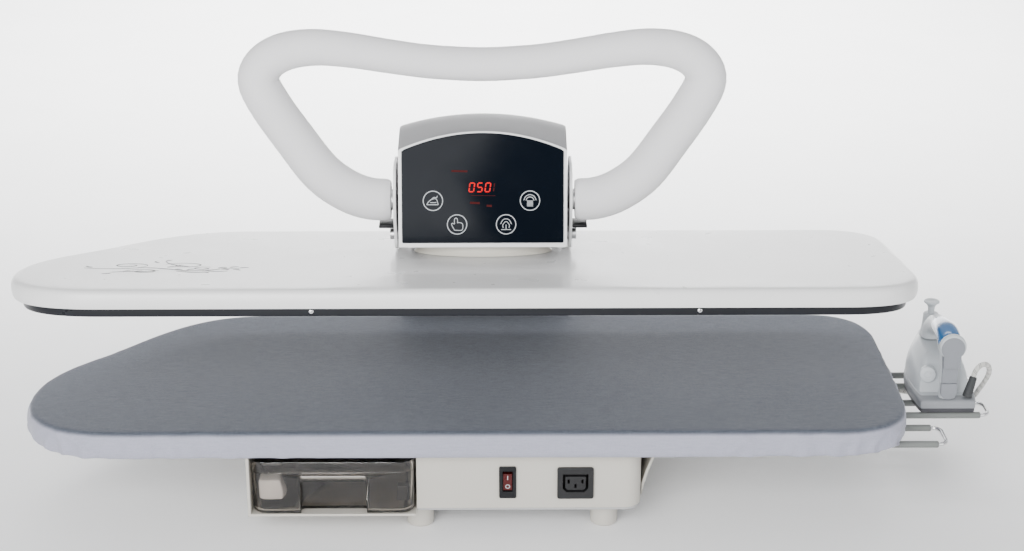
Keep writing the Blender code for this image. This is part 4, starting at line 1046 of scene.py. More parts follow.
@dataclass
class Board:
    """The padded board: alloy tray, pad and gathered cloth cover."""

    thickness: float = 26.0
    around: int = 900
    hem_drop: float = 25.2
    hem_turn: float = 20.0
    cloth_thickness: float = 0.7
    frames: int = 12

    def outline(self, grow: float, count: int) -> list[Vector]:
        """The board's plan with evenly spaced points."""
        return even_outline(press_outline(grow, BOARD_SHIFT), count)

    def tray(self) -> None:
        """The dished alloy tray under the pad."""
        recast("board_tray", GREY_PAINT, Body.BASE, "alloy", 0.3)

    def pad(self) -> None:
        """The pad, swollen a little by a cloth simulation and kept inside the cover."""
        low = BOARD_TOP - self.thickness + 2.8
        profile = ((-9, low), (-5.5, low + 4), (-5.0, low + 10), (-4.6, BOARD_TOP - 8),
                   (-6.5, BOARD_TOP - 4), (-12, BOARD_TOP - 3.0))
        rings = [[at(p.x, p.y, z) for p in self.outline(grow, 360)] for grow, z in profile]
        shape = Shape().loft(rings)
        pad = shape.build("pressing_pad", PAD, Body.BASE, ("foam_pad",), "pad_foam", sharp=80)
        self.swell(pad, 1.6)

    def swell(self, pad: bpy.types.Object, cap: float) -> None:
        """Blow the pad up gently with Cloth and apply the result.

        Args:
            pad: the piece.
            cap: how far a point may move, in millimetres.
        """
        remesh = pad.modifiers.new("voxels", "REMESH")
        remesh.mode, remesh.voxel_size = "VOXEL", 5.5 * MM
        bpy.context.view_layer.update()
        rest = bpy.data.meshes.new_from_object(pad.evaluated_get(bpy.context.evaluated_depsgraph_get()))
        scratch = stood("pad_scratch", rest)
        cloth = scratch.modifiers.new("swell", "CLOTH")
        cloth.settings.use_pressure, cloth.settings.uniform_pressure_force = True, 4.0
        cloth.settings.effector_weights.gravity = 0.0
        scene = bpy.context.scene
        for number in range(1, self.frames + 1):
            scene.frame_set(number)
        swollen = scratch.evaluated_get(bpy.context.evaluated_depsgraph_get()).data
        start, end = [v.co.copy() for v in rest.vertices], [v.co.copy() for v in swollen.vertices]
        scene.frame_set(1)
        bpy.data.objects.remove(scratch)
        pad.modifiers.clear()
        old = pad.data
        finish = old.materials[0]
        pad.data = rest
        rest.materials.clear()
        rest.materials.append(finish)
        top = (BOARD_TOP - 1.9) * MM
        for vert, before, after in zip(rest.vertices, start, end):
            move = after - before
            if move.length > cap * MM:
                move.length = cap * MM
            place = before + move
            vert.co = Vector((place.x, place.y, min(place.z, top)))
        rest.shade_smooth()
        bpy.data.meshes.remove(old)

    def gathered(self, point: Vector) -> float:
        """How strongly the skirt is gathered at a place on the board's edge, from 0 to 1."""
        front, nose_start, nose_run, corner_start, corner_run = 170, -130, 130, 215, 110
        if point.y < front:
            nose, corner = (nose_start - point.x) / nose_run, (point.x - corner_start) / corner_run
            return min(1.0, max(0.0, nose, corner))
        rear_start, rear_run = 330, 60
        return min(1.0, max(0.0, (abs(point.x) - rear_start) / rear_run))

    def cover(self) -> None:
        """The cloth cover: flat on top, rolled over the edge and gathered into the hem."""
        count = self.around
        base = self.outline(0.0, count)
        normals = []
        for i, point in enumerate(base):
            along = (base[(i + 1) % count] - base[i - 1]).normalized()
            normals.append(Vector((along.y, -along.x)))
        rows = ((-30.0, 0.0, 0.0), (-16.0, 0.0, 0.0), (-8.0, 0.0, 0.0), (-4.6, -0.06, 0.02),
                (-2.4, -0.4, 0.04), (-0.6, -1.3, 0.08), (0.8, -2.8, 0.16), (1.8, -5.0, 0.28),
                (2.5, -7.6, 0.42), (2.9, -10.6, 0.58), (3.1, -13.8, 0.74), (3.2, -17.0, 0.88),
                (3.2, -20.2, 0.97), (3.0, -23.2, 1.0), (2.4, -25.8, 0.95), (1.0, -27.4, 0.7),
                (-1.0, -27.6, 0.3), (-1.6, -26.4, 0.0))
        even, calm, gather, nose_swell, corner_swell = 0.7, 0.25, 3.9, 1.2, 0.2
        chooser = random.Random(11)
        folds = []
        spot = 0.0
        while spot < count:
            folds.append((spot, chooser.uniform(0.35, 1.0), chooser.uniform(-14, 14),
                          chooser.uniform(1.3, 3.3)))
            spot += chooser.uniform(4.0, 11.0)
        rings = []
        for out, down, depth in rows:
            ring = []
            for i, point in enumerate(base):
                ripple = 0.0
                for spot, strength, lean, width in folds:
                    away = (i - spot - lean * (1 - depth) + count / 2) % count - count / 2
                    if abs(away) < 3 * width:
                        ripple += strength * math.exp(-(away / width) ** 2)
                pull = self.gathered(point)
                puff = (ripple - even) * depth * (calm + gather * pull)
                puff += depth * pull * (nose_swell if point.x < 0 else corner_swell)
                sag = math.sin(i * 0.021) * 0.5 + math.sin(i * 0.057 + 1.3) * 0.35
                lift = 2.6 * min(1.0, max(0.0, (point.y - 280) / 30)) * depth
                lift += (ripple - 0.6) * 1.1 * pull * max(0.0, depth - 0.5) + sag * depth * 0.4
                place = point + normals[i] * (out + puff)
                ring.append(at(place.x, place.y, BOARD_TOP + down + lift))
            rings.append(ring)
        shape = Shape()
        shape.loft(rings, caps=False)
        centre_rows = [list(shape.mesh.verts)[:count]]
        for share in (0.82, 0.6, 0.36, 0.14):
            row = []
            for i, point in enumerate(base):
                spine = Vector((max(-330.0, min(350.0, point.x)), 158.0))
                place = spine.lerp(point + normals[i] * -30.0, share)
                row.append(shape.mesh.verts.new(at(place.x, place.y, BOARD_TOP + self.crown(place))))
            centre_rows.append(row)
        for low, high in zip(centre_rows, centre_rows[1:]):
            for i in range(count):
                j = (i + 1) % count
                shape.mesh.faces.new((low[j], low[i], high[i], high[j]))
        shape.mesh.faces.new(centre_rows[-1])
        bmesh.ops.triangulate(shape.mesh, faces=[f for f in shape.mesh.faces if len(f.verts) > 4])
        cover = shape.build("board_cover_cloth", COVER, Body.BASE, ("board_cover",), "cover_cloth", sharp=70)
        area = sum(face.area for face in cover.data.polygons)
        extra = 2 * self.hem_drop + self.hem_turn
        width, length = (BOARD_DEPTH + extra) * MM, (BOARD_LENGTH + extra) * MM
        log.info("cover area %.4f of %.4f", area, width * length)
        thick = cover.modifiers.new("cloth_thickness", "SOLIDIFY")
        thick.thickness, thick.offset = self.cloth_thickness * MM, -1.0

    def crown(self, place: Vector) -> float:
        """Height of the cloth's faint unevenness over the pad at a place, in millimetres."""
        return 0.12 * math.sin(place.x * 0.031 + place.y * 0.017) + 0.08 * math.sin(place.y * 0.06)

    def build(self) -> None:
        """Make the whole board."""
        self.tray()
        self.pad()
        self.cover()


# ---------------------------------------------------------------- pressing plate

@dataclass
class PressPlate:
    """The heated plate: painted shell, black rim, sole, screws, printed scroll and the head's collar."""

    edge: tuple = ((-7, -3), (-5, -6), (-5, -19), (-2, -19), (-0.9, -17), (-0.35, -14.6), (-0.05, -12.4),
                   (0, -10.5), (-0.05, -8), (-0.3, -5.5), (-0.8, -3.8), (-1.6, -2.4), (-2.7, -1.35),
                   (-4, -0.7), (-5.8, -0.2), (-8, 0), (-16, 0), (-30, 0))
    rim: tuple = ((-24, -15), (-24, -28.8), (-12.8, -28.8), (-11.5, -28.4), (-11, -27.4), (-11, -19.4),
                  (-5.4, -19.4), (-5.4, -15))
    sole: tuple = ((-24.4, -18), (-24.4, -28), (-24.8, -28.7), (-25.6, -29), (-40, -29))
    print_lift: tuple = (0.05, 0.1)

    def rings(self, profile: Sequence[tuple[float, float]]) -> list[list[Vector]]:
        """Rings round the plate from (outward, upward) pairs."""
        return [[on_plate(p.x, p.y, w) for p in press_outline(grow, PLATE_SHIFT)] for grow, w in profile]

    def scroll(self) -> None:
        """The printed scroll of tendrils and leaves at the plate's left."""
        shape = Shape()
        stems = (((-384, 110), (-366, 106), (-344, 106), (-322, 110), (-300, 104), (-276, 94), (-256, 97),
                  (-238, 106), (-226, 104)),
                 ((-352, 88), (-338, 92), (-322, 91), (-306, 96)),
                 ((-306, 140), (-300, 130), (-290, 121), (-276, 114)),
                 ((-288, 92), (-270, 86), (-254, 88)), ((-262, 97), (-248, 90), (-236, 92)))
        for stem in stems:
            shape.stroke(smooth_path(stem, 7), 2.3, on_plate, *self.print_lift, taper=True)
        curls = ((-340, 122, 15, 300, 520), (-322, 92, 14, 200, -470), (-284, 121, 17, 150, -400),
                 (-262, 106, 9, 60, 380))
        steps = 44
        for x, v, radius, start, sweep in curls:
            points = []
            for i in range(steps + 1):
                angle = math.radians(start + sweep * i / steps)
                reach = radius * (1 - 0.8 * i / steps)
                across, along = 1.35 * reach * math.cos(angle), 0.8 * reach * math.sin(angle)
                points.append(Vector((x + across, v + along)))
            shape.stroke(points, 1.9, on_plate, *self.print_lift, taper=True)
        leaves = ((-376, 114, 150), (-352, 84, 200), (-306, 142, 60), (-312, 136, 130), (-262, 88, -30),
                  (-248, 108, 20), (-244, 102, -20), (-236, 110, 30), (-232, 100, -25), (-226, 108, 10),
                  (-300, 112, 20), (-292, 100, 10), (-278, 98, 40))
        for x, v, heading in leaves:
            ahead = Vector((math.cos(math.radians(heading)), math.sin(math.radians(heading))))
            aside = Vector((-ahead.y, ahead.x))
            start = Vector((x, v))
            middle, tip = start + ahead * 4 + aside * 1.2, start + ahead * 9 - aside * 0.5
            points = smooth_path((start, middle, tip), 5)
            shape.stroke(points, 2.8, on_plate, *self.print_lift, taper=True)
        shape.build("plate_scroll", SCROLL_INK, Body.PLATE, slot="plate_paint", sharp=60)

    def painted_shade_vents(self) -> None:
        """Small steam mouths in the sole, drawn as dark discs: painted shade standing for the holes' hollow
        insides.
        """
        shape = Shape()
        down = on_plate(0, 0, -1) - on_plate(0, 0, 0)
        for row, v in enumerate((70, 120, 170, 220, 266)):
            for x in range(-300 + 30 * (row % 2), 370, 60):
                # each mouth is a shallow dark disc, painted shade in place of a real hole
                shape.turned(on_plate(x, v, -28.9), down, ((2.6, 0), (2.6, 0.25), (2.2, 0.4)), 16)
        shape.build("sole_vents", SOLE_DARK, Body.PLATE, slot="alloy")

    def screws(self) -> None:
        """Cross-head screws along the rim's front."""
        out = on_plate(0, 0, 0) - on_plate(0, 1, 0)
        for name, x in (("left", -145.5), ("right", 230.5)):
            head = Shape().turned(on_plate(x, 10.7, -23.2), out,
                                  ((2.6, 0), (2.55, 0.7), (2.2, 1.25), (1.5, 1.6), (0.7, 1.75)), 32)
            head.build(f"screw_head_{name}", CHROME, Body.PLATE, (f"rim_screw_{name}",), "chrome")
            # The black cross on each head is painted shade, standing for the dark inside of the cross
            # recess.
            cross = Shape().block((x - 1.5, 8.95, -23.45), (x + 1.5, 9.6, -22.95), 0, on_plate)
            cross.block((x - 0.25, 8.94, -24.7), (x + 0.25, 9.6, -21.7), 0, on_plate)
            cross.build(f"screw_recess_painted_shade_{name}", BLACK, Body.PLATE, slot="chrome")

    def collar(self) -> None:
        """The cream oval collar between the plate and the control head."""
        rings = []
        for a, b, w in ((58, 26, 0.3), (58, 26, 11.2), (65, 32, 11.2), (66.2, 33.2, 10.6), (67, 34, 8.8),
                        (68, 35, 7), (69.3, 36, 4.6), (71, 37.2, 2.4), (72.3, 38.4, 1.1), (73, 39, 0.3)):
            turns = [2 * math.pi * i / 96 for i in range(96)]
            rings.append([on_head(a * math.cos(t), 200 + b * math.sin(t), w) for t in turns])
        shape = Shape().loft(rings, closed=True)
        shape.build("oval_collar", CREAM_GLOSS, Body.PLATE, ("pedestal",), "cream")

    def build(self) -> None:
        """Make the whole plate."""
        Shape().loft(self.rings(self.edge)).build("shell_top", SHELL_PAINT, Body.PLATE, ("plate_shell",),
                                                  "plate_paint")
        Shape().loft(self.rings(self.rim), closed=True).build("rim_band", RIM_BLACK, Body.PLATE,
                                                              ("plate_rim",), "black_plastic")
        Shape().loft(self.rings(self.sole)).build("sole_casting", ALLOY, Body.PLATE, ("soleplate",), "alloy")
        self.scroll()
        self.painted_shade_vents()
        self.screws()
        self.collar()
        for node in ("heating_element", "pivot_yoke", "link_lug"):
            repaint(node, STEEL)
        repaint("steam_chamber", ALLOY)


# ---------------------------------------------------------------- control head

@dataclass
class ControlHead:
    """The control head: grey housing, white lip, black glass and its lit and printed marks."""

    slope: float = math.tan(math.radians(3.25))
    foot: float = 17.2

    def section(self, v: float, half: float, bottom: float, corner: float, apex: float,
                leaning: bool = True) -> list[Vector]:
        """Cross-section of the head: rounded foot, upright sides and arched top.

        Args:
            v: distance along the plate from its front edge.
            half: half its width.
            bottom: height of its foot.
            corner: height of its shoulders.
            apex: height of its arch.
            leaning: whether it leans back with the glass.

        Returns:
            The ring's points.
        """
        foot, steps = 1.6, 28
        low = bottom + foot
        flat = [*arc((-half + foot, low), foot, 180, 270, 5), *arc((half - foot, low), foot, 270, 360, 5)]
        for i in range(2 * steps + 1):
            x = half * (1 - i / steps)
            worn = 0.8 * (max(0.0, abs(x) - half + 2) / 2) ** 2
            flat.append(Vector((x, apex - (apex - corner) * (x / half) ** 2 - worn)))
        lean = self.slope if leaning else 0.0
        return [on_head(p.x, v + lean * (p.y - bottom), p.y) for p in flat]

    def on_glass(self, x: float, w: float, lift: float) -> Vector:
        """A place on the glass, lifted off its face."""
        return on_head(x, 151.8 + self.slope * (w - self.foot) - lift, w)

    def housing(self) -> None:
        """The grey housing, open at its back, and the white lip round the glass."""
        inner = ((157, 84.4, 14.2, 110.5, 129.4, True), (214, 84.4, 14.2, 128, 141, False),
                 (243, 84.4, 14.2, 119, 131, False))
        outer = ((243, 87, 11.6, 121.6, 133.6, False), (238, 87, 11.6, 124.8, 137, False),
                 (232, 87, 11.6, 127.2, 139.9, False), (224, 87, 11.6, 129.4, 142.3, False),
                 (216, 87, 11.6, 130.4, 143.4, False), (208, 87, 11.6, 130.2, 143.4, False),
                 (200, 87, 11.6, 129, 142.6, False), (190, 87, 11.6, 126, 140.7, False),
                 (155.6, 87, 11.6, 113, 132.1, True), (155.1, 86.7, 11.9, 112.8, 131.9, True))
        Shape().loft([self.section(*s) for s in inner + outer]).build(
            "head_housing", HEAD_GREY, Body.PLATE, ("control_box",), "head_grey")
        lip = ((154.8, 87, 11.6, 112.8, 131.6, True), (153.8, 86.8, 11.8, 112.4, 131.2, True),
               (153.5, 86.2, 12.4, 112, 130.8, True))
        Shape().loft([self.section(*s) for s in lip]).build("head_lip", WHITE, Body.PLATE, slot="head_grey")
        recast("control_box_back", HEAD_GREY, Body.PLATE, "head_grey", 0.3)
        glass = ((153.2, 83.4, 16.6, 112, 130, True), (152.3, 83.4, 16.6, 112, 130, True),
                 (151.95, 83.2, 16.8, 111.8, 129.8, True), (151.8, 82.8, 17.2, 111.4, 129.4, True))
        Shape().loft([self.section(*s) for s in glass]).build("control_glass", PANEL, Body.PLATE,
                                                              ("panel_glass",), "panel_black")
        repaint("display_board", CIRCUIT)

    def digits(self) -> None:
        """The lit time and the faint lamps round it."""
        low, wide, tall, slant = 69.8, 4.9, 9.0, 0.14
        bars = {"a": (0, 2, 1, 2), "b": (1, 2, 1, 1), "c": (1, 1, 1, 0), "d": (0, 0, 1, 0),
                "e": (0, 0, 0, 1), "f": (0, 1, 0, 2), "g": (0, 1, 1, 1)}
        bright, dim = Shape(), Shape()
        for shape, shown, x in ((bright, "abcdef", -14.2), (bright, "afgcd", -5.9), (bright, "abcdef", 2.3),
                                (dim, "bc", 6.2)):
            for bar in shown:
                a, b, c, d = bars[bar]
                start = Vector((x + a * wide + b * tall / 2 * slant, low + b * tall / 2))
                end = Vector((x + c * wide + d * tall / 2 * slant, low + d * tall / 2))
                trim = (end - start) * 0.09
                shape.stroke([start + trim, end - trim], 1.25, self.on_glass)
        for left, right, w, width in ((-32, -15.5, 91.2, 1.9), (-13, -3, 58.4, 2.2), (4, 9.4, 55.4, 2.2),
                                      (-12, 13, 66, 0.5)):
            dim.stroke([Vector((left, w)), Vector((right, w - 0.4))], width, self.on_glass)
        bright.build("lit_digits", DIGIT_RED, Body.PLATE, slot="panel_black")
        dim.build("dim_lamps", DIM_RED, Body.PLATE, slot="panel_black")

    def icons(self) -> None:
        """Four ringed symbols printed on the glass."""
        shape = Shape()
        marks = {
            (-51.2, 60.5): (((-6.5, -4), (5.5, -4)),
                            ((-6.5, -4), (-4.5, -1), (-1, 1.6), (3.4, 1.8), (5.5, -4)),
                            ((-1.5, 1.6), (1.2, 3.6), (3.6, 3.2), (4.6, 5.2)), ((-3, -1.8), (3.4, -1.8))),
            (-26.5, 36.0): (((-2.6, 0.4), (-2.6, 5.4), (-1, 6.6), (0.4, 5.4), (0.4, 1.4)),
                            ((0.4, 1.8), (2.6, 2), (5.4, 0.8), (6, -2.4), (4.6, -6), (-2.6, -6)),
                            ((-2.6, 0.4), (-5, 1.2), (-5.6, -0.4), (-2.6, -6))),
            (24.0, 36.0): (((-5, -5.4), (5, -5.4)),
                           ((-5.6, 0.4), (-3.4, 4.4), (0, 5.8), (3.4, 4.4), (5.6, 0.4)),
                           ((-3, -3.6), (-3.4, -0.6), (0, 3), (3.4, -0.6), (3, -3.6)), ((0, -5), (0, -0.4))),
            (48.7, 60.5): (((-6.4, 0.4), (-4.4, 4.4), (0, 6.2), (4.4, 4.4), (6.4, 0.4)),
                           ((-4.2, 0.2), (-2.8, 2.8), (0, 3.8), (2.8, 2.8), (4.2, 0.2))),
        }
        for centre, lines in marks.items():
            middle = Vector(centre)
            ring = [p + middle for p in arc((0, 0), 10.0, 0, 355, 71)]
            shape.stroke(ring, 0.85, self.on_glass, closed=True)
            for line in lines:
                points = [Vector(p) + middle for p in line]
                points = smooth_path(points, 4) if len(points) > 2 else points
                shape.stroke(points, 0.7, self.on_glass)
        for row in range(7):
            low = Vector((48.7 - 3.1, 54.9 + 0.9 * row))
            shape.stroke([low, low + Vector((6.2, 0))], 0.5, self.on_glass)
        shape.build("printed_symbols", INK, Body.PLATE, slot="panel_black", sharp=60)

    def build(self) -> None:
        """Make the whole head."""
        self.housing()
        self.digits()
        self.icons()


# ---------------------------------------------------------------- lever arm and rear hinge

@dataclass
class LeverArm:
    """The lever: foam-sleeved handle, its tube, the two cheeks and the tie bar."""

    depth: float = 172.0
    low: float = 309.5
    half: tuple = ((93.4, 0), (96, 0), (118, 1), (142, 10), (168, 30), (194, 66), (217, 101), (229, 128),
                   (221, 147), (200, 159), (170, 163), (135, 160), (98, 154), (60, 148.5), (28, 146))

    def route(self) -> list[Vector]:
        """The handle's centreline in the layout's millimetres."""
        right = [Vector((HEAD_X + x, self.depth, self.low + z)) for x, z in self.half]
        left = [Vector((2 * HEAD_X - p.x, p.y, p.z)) for p in right]
        return [*right, Vector((HEAD_X, self.depth, self.low + 145)), *left[::-1]]

    def thickness(self, point: Vector) -> float:
        """Radius of the foam at a place on the centreline."""
        half_width, height = 230, 150
        waist, flare, swell = 17.2, 3.6, 4.5
        reach = abs(point.x - HEAD_X) / half_width
        drop = max(0.0, 1 - (point.z - self.low) / height)
        return waist + flare * min(1.0, reach) ** 3 + swell * drop

    def build(self) -> None:
        """Make the arm and its handle."""
        path = smooth_path(self.route(), 5)[5:-5]
        radii = [self.thickness(p) for p in path]
        for ends in ((0, 1), (-1, -2)):
            radii[ends[0]] -= 2.4
            radii[ends[1]] -= 0.5
        foam = Shape().tube([at(*p) for p in path], radii, 44, 11.8)
        foam.build("foam_grip", FOAM, Body.ARM, ("handle_grip",), "handle_foam")
        tube = [at(*p) for p in smooth_path(self.route(), 4)]
        pipe = Shape().tube(tube, [11.0] * len(tube), 32, 9.6)
        pipe.build("bent_tube", STEEL, Body.ARM, ("handle_tube",), "steel")
        for side in ("left", "right"):
            recast(f"arm_plate_{side}", WHITE, Body.ARM, "white_paint", 0.5)
            recast(f"handle_clamp_{side}", BLACK, Body.ARM, "black_plastic", 0.0)
        recast("arm_tie_bar", STEEL, Body.ARM, "steel", 0.5)


@dataclass
class RearHinge:
    """The hinge tower with its pin, spring and cover, and the levelling link."""

    centre: tuple = (350.0, 256.253)
    turns: int = 10
    turn_steps: int = 36
    half_length: float = 62.0
    radius: float = 15.5
    wire: float = 2.2

    def build(self) -> None:
        """Make the tower's pieces."""
        recast_all(Body.BASE, (("hinge_tower", GREY_PAINT, "painted_steel", 0.5),
                               ("hinge_pin", CHROME, "chrome", 0.8), ("tower_cover", CREAM, "cream", 0.5)))
        path = []
        steps = self.turns * self.turn_steps
        for i in range(steps + 1):
            angle = 2 * math.pi * i / self.turn_steps
            x = HEAD_X + self.half_length * (2 * i / steps - 1)
            y, z = self.radius * math.cos(angle), self.radius * math.sin(angle)
            path.append(at(x, self.centre[0] + y, self.centre[1] + z))
        spring = Shape().tube(path, [self.wire] * len(path), 14)
        spring.build("lift_spring", STEEL, Body.BASE, ("counter_spring",), "steel")
        recast("levelling_link", STEEL, Body.LINK, "steel", 0.5)


# ---------------------------------------------------------------- base

@dataclass
class Base:
    """The base: cream housing, flared side, feet, tank bay, pump, switch, socket and inlet."""

    face: float = 15.6
    feet: tuple = (("front_left", -46, 43), ("front_right", 144, 43), ("rear_left", -190, 345),
                   ("rear_right", 150, 345))

    def shell(self) -> None:
        """Housing, bottom cover, bay, side skin and feet."""
        recast_all(Body.BASE, (("base_housing", CREAM, "cream", 0.5),
                               ("base_cover", GREY_PAINT, "painted_steel", 0.3),
                               ("side_panel", CREAM, "cream", 0.5), ("tank_bay", CREAM, "cream", 0.5)))
        profile = ((11.8, 0), (12.9, 0.4), (13.7, 1.1), (14, 2.2), (14, 26.1))
        for name, x, y in self.feet:
            foot = Shape().turned(at(x, y, 0), UP, profile, 56)
            foot.build(f"round_foot_{name}", CREAM, Body.BASE, (f"foot_{name}",), "cream")

    def on_rocker(self, x: float, z: float, lift: float) -> Vector:
        """A place on the rocker's face."""
        rise = z - 59.7
        return at(x, self.face - 3.2 - rise * (0.1856 if rise > 0 else 0.1031) - lift, z)

    def electrics(self) -> None:
        """Switch, socket, inlet and pump."""
        recast("switch_bezel", BLACK, Body.BASE, "black_plastic", 0.3)
        recast("switch_rocker", ROCKER_RED, Body.ROCKER, "rocker_red", 0.3)
        marks = Shape().stroke([Vector((44.3, 62.4)), Vector((44.3, 67.2))], 0.8, self.on_rocker)
        ring = [p + Vector((44.3, 54.4)) for p in arc((0, 0), 2.1, 0, 345, 23)]
        marks.stroke(ring, 0.7, self.on_rocker, closed=True)
        marks.build("rocker_marks", INK, Body.ROCKER, slot="rocker_red")
        recast_all(Body.BASE, (("iron_socket", SOCKET_GREY, "black_plastic", 0.25),
                               ("mains_inlet", BLACK, "black_plastic", 0.25),
                               ("water_pump", BLACK, "black_plastic", 0.0)))
        repaint("pump_hose", HOSE)

    def build(self) -> None:
        """Make the whole base."""
        self.shell()
        self.electrics()


# ---------------------------------------------------------------- water tank

@dataclass
class WaterTank:
    """The smoked water tank with its lid, filler cap, filter and outlet."""

    left: float = -215.3
    right: float = -50.3
    front: float = 2.0
    rear: float = 238.0

    def plan(self, grow: float) -> list[Vector]:
        """Plan of the tank, grown outwards."""
        low, high = (self.left - grow, self.front - grow), (self.right + grow, self.rear + grow)
        return rounded_rectangle(low, high, (14 + grow, 14 + grow, 6 + grow, 6 + grow), 10)

    def build(self) -> None:
        """Make the tank's pieces."""
        recast("water_tank", TANK, Body.TANK, "smoke", 0.0)
        wall, seam, top = 2.4, 75.3, 88.0
        rows = ((-wall, top - wall), (-wall, seam), (-0.3, seam), (0, seam + 0.4), (0, top - 1.2),
                (-0.4, top - 0.4), (-1.2, top))
        rings = [[at(p.x, p.y, z) for p in self.plan(grow)] for grow, z in rows]
        Shape().loft(rings).build("tank_cover", TANK, Body.TANK, ("tank_lid",), "smoke")
        profile = ((10.4, -4), (10.4, 0.3), (13.2, 0.3), (13.5, 0.7), (13.5, 3.4), (13, 4.1), (12.2, 4.5),
                   (4, 4.5))
        cap = Shape().turned(at(-130, 28, top), UP, profile, 56)
        cap.build("filler_cap", TANK, Body.TANK, ("tank_cap",), "smoke")
        recast("tank_filter", WHITE, Body.TANK, "white_paint", 0.0)
        outlet = Shape().block((-68, 6, 43), (-56, 16, 59), 0.8)
        outlet.build("tank_outlet", BLACK, Body.TANK, slot="smoke")


# ---------------------------------------------------------------- iron rest

@dataclass
class IronRest:
    """Three hairpins of bright wire with grey heat sleeves, set in a bracket."""

    loops: tuple = ((46, 86, 497), (118, 150, 556), (195, 225, 556))
    height: float = 84.6
    bend: float = 9.0
    start: float = 400.0

    def build(self) -> None:
        """Make the sleeves, the wires and the bracket."""
        sleeves, wires = Shape(), Shape()
        for front, rear, end in self.loops:
            stop = end - self.bend - 0.6
            plan = [Vector((self.start, front)), Vector((stop, front)),
                    *arc((end - self.bend, front + self.bend), self.bend, 270, 360, 12),
                    *arc((end - self.bend, rear - self.bend), self.bend, 0, 90, 12),
                    Vector((stop, rear)), Vector((self.start, rear))]
            path = [at(p.x, p.y, self.height) for p in plan]
            wires.tube(path, [2.0] * len(path), 24)
            for y in (front, rear):
                line = [at(x, y, self.height) for x in (self.start, stop - 1.4, stop - 0.3, stop)]
                sleeves.tube(line, [3.5, 3.5, 3.2, 2.8], 28, 2.02)
        sleeves.build("rail_sleeves", SLEEVE, Body.BASE, ("iron_rest",), "grey_rubber")
        wires.build("rail_wires", CHROME, Body.BASE, slot="chrome")
        bracket = Shape().block((396, 36, 79.6), (418, 235, 94.6), 1.2)
        bracket.build("rail_bracket", SLEEVE, Body.BASE, slot="grey_rubber")


# ---------------------------------------------------------------- steam iron

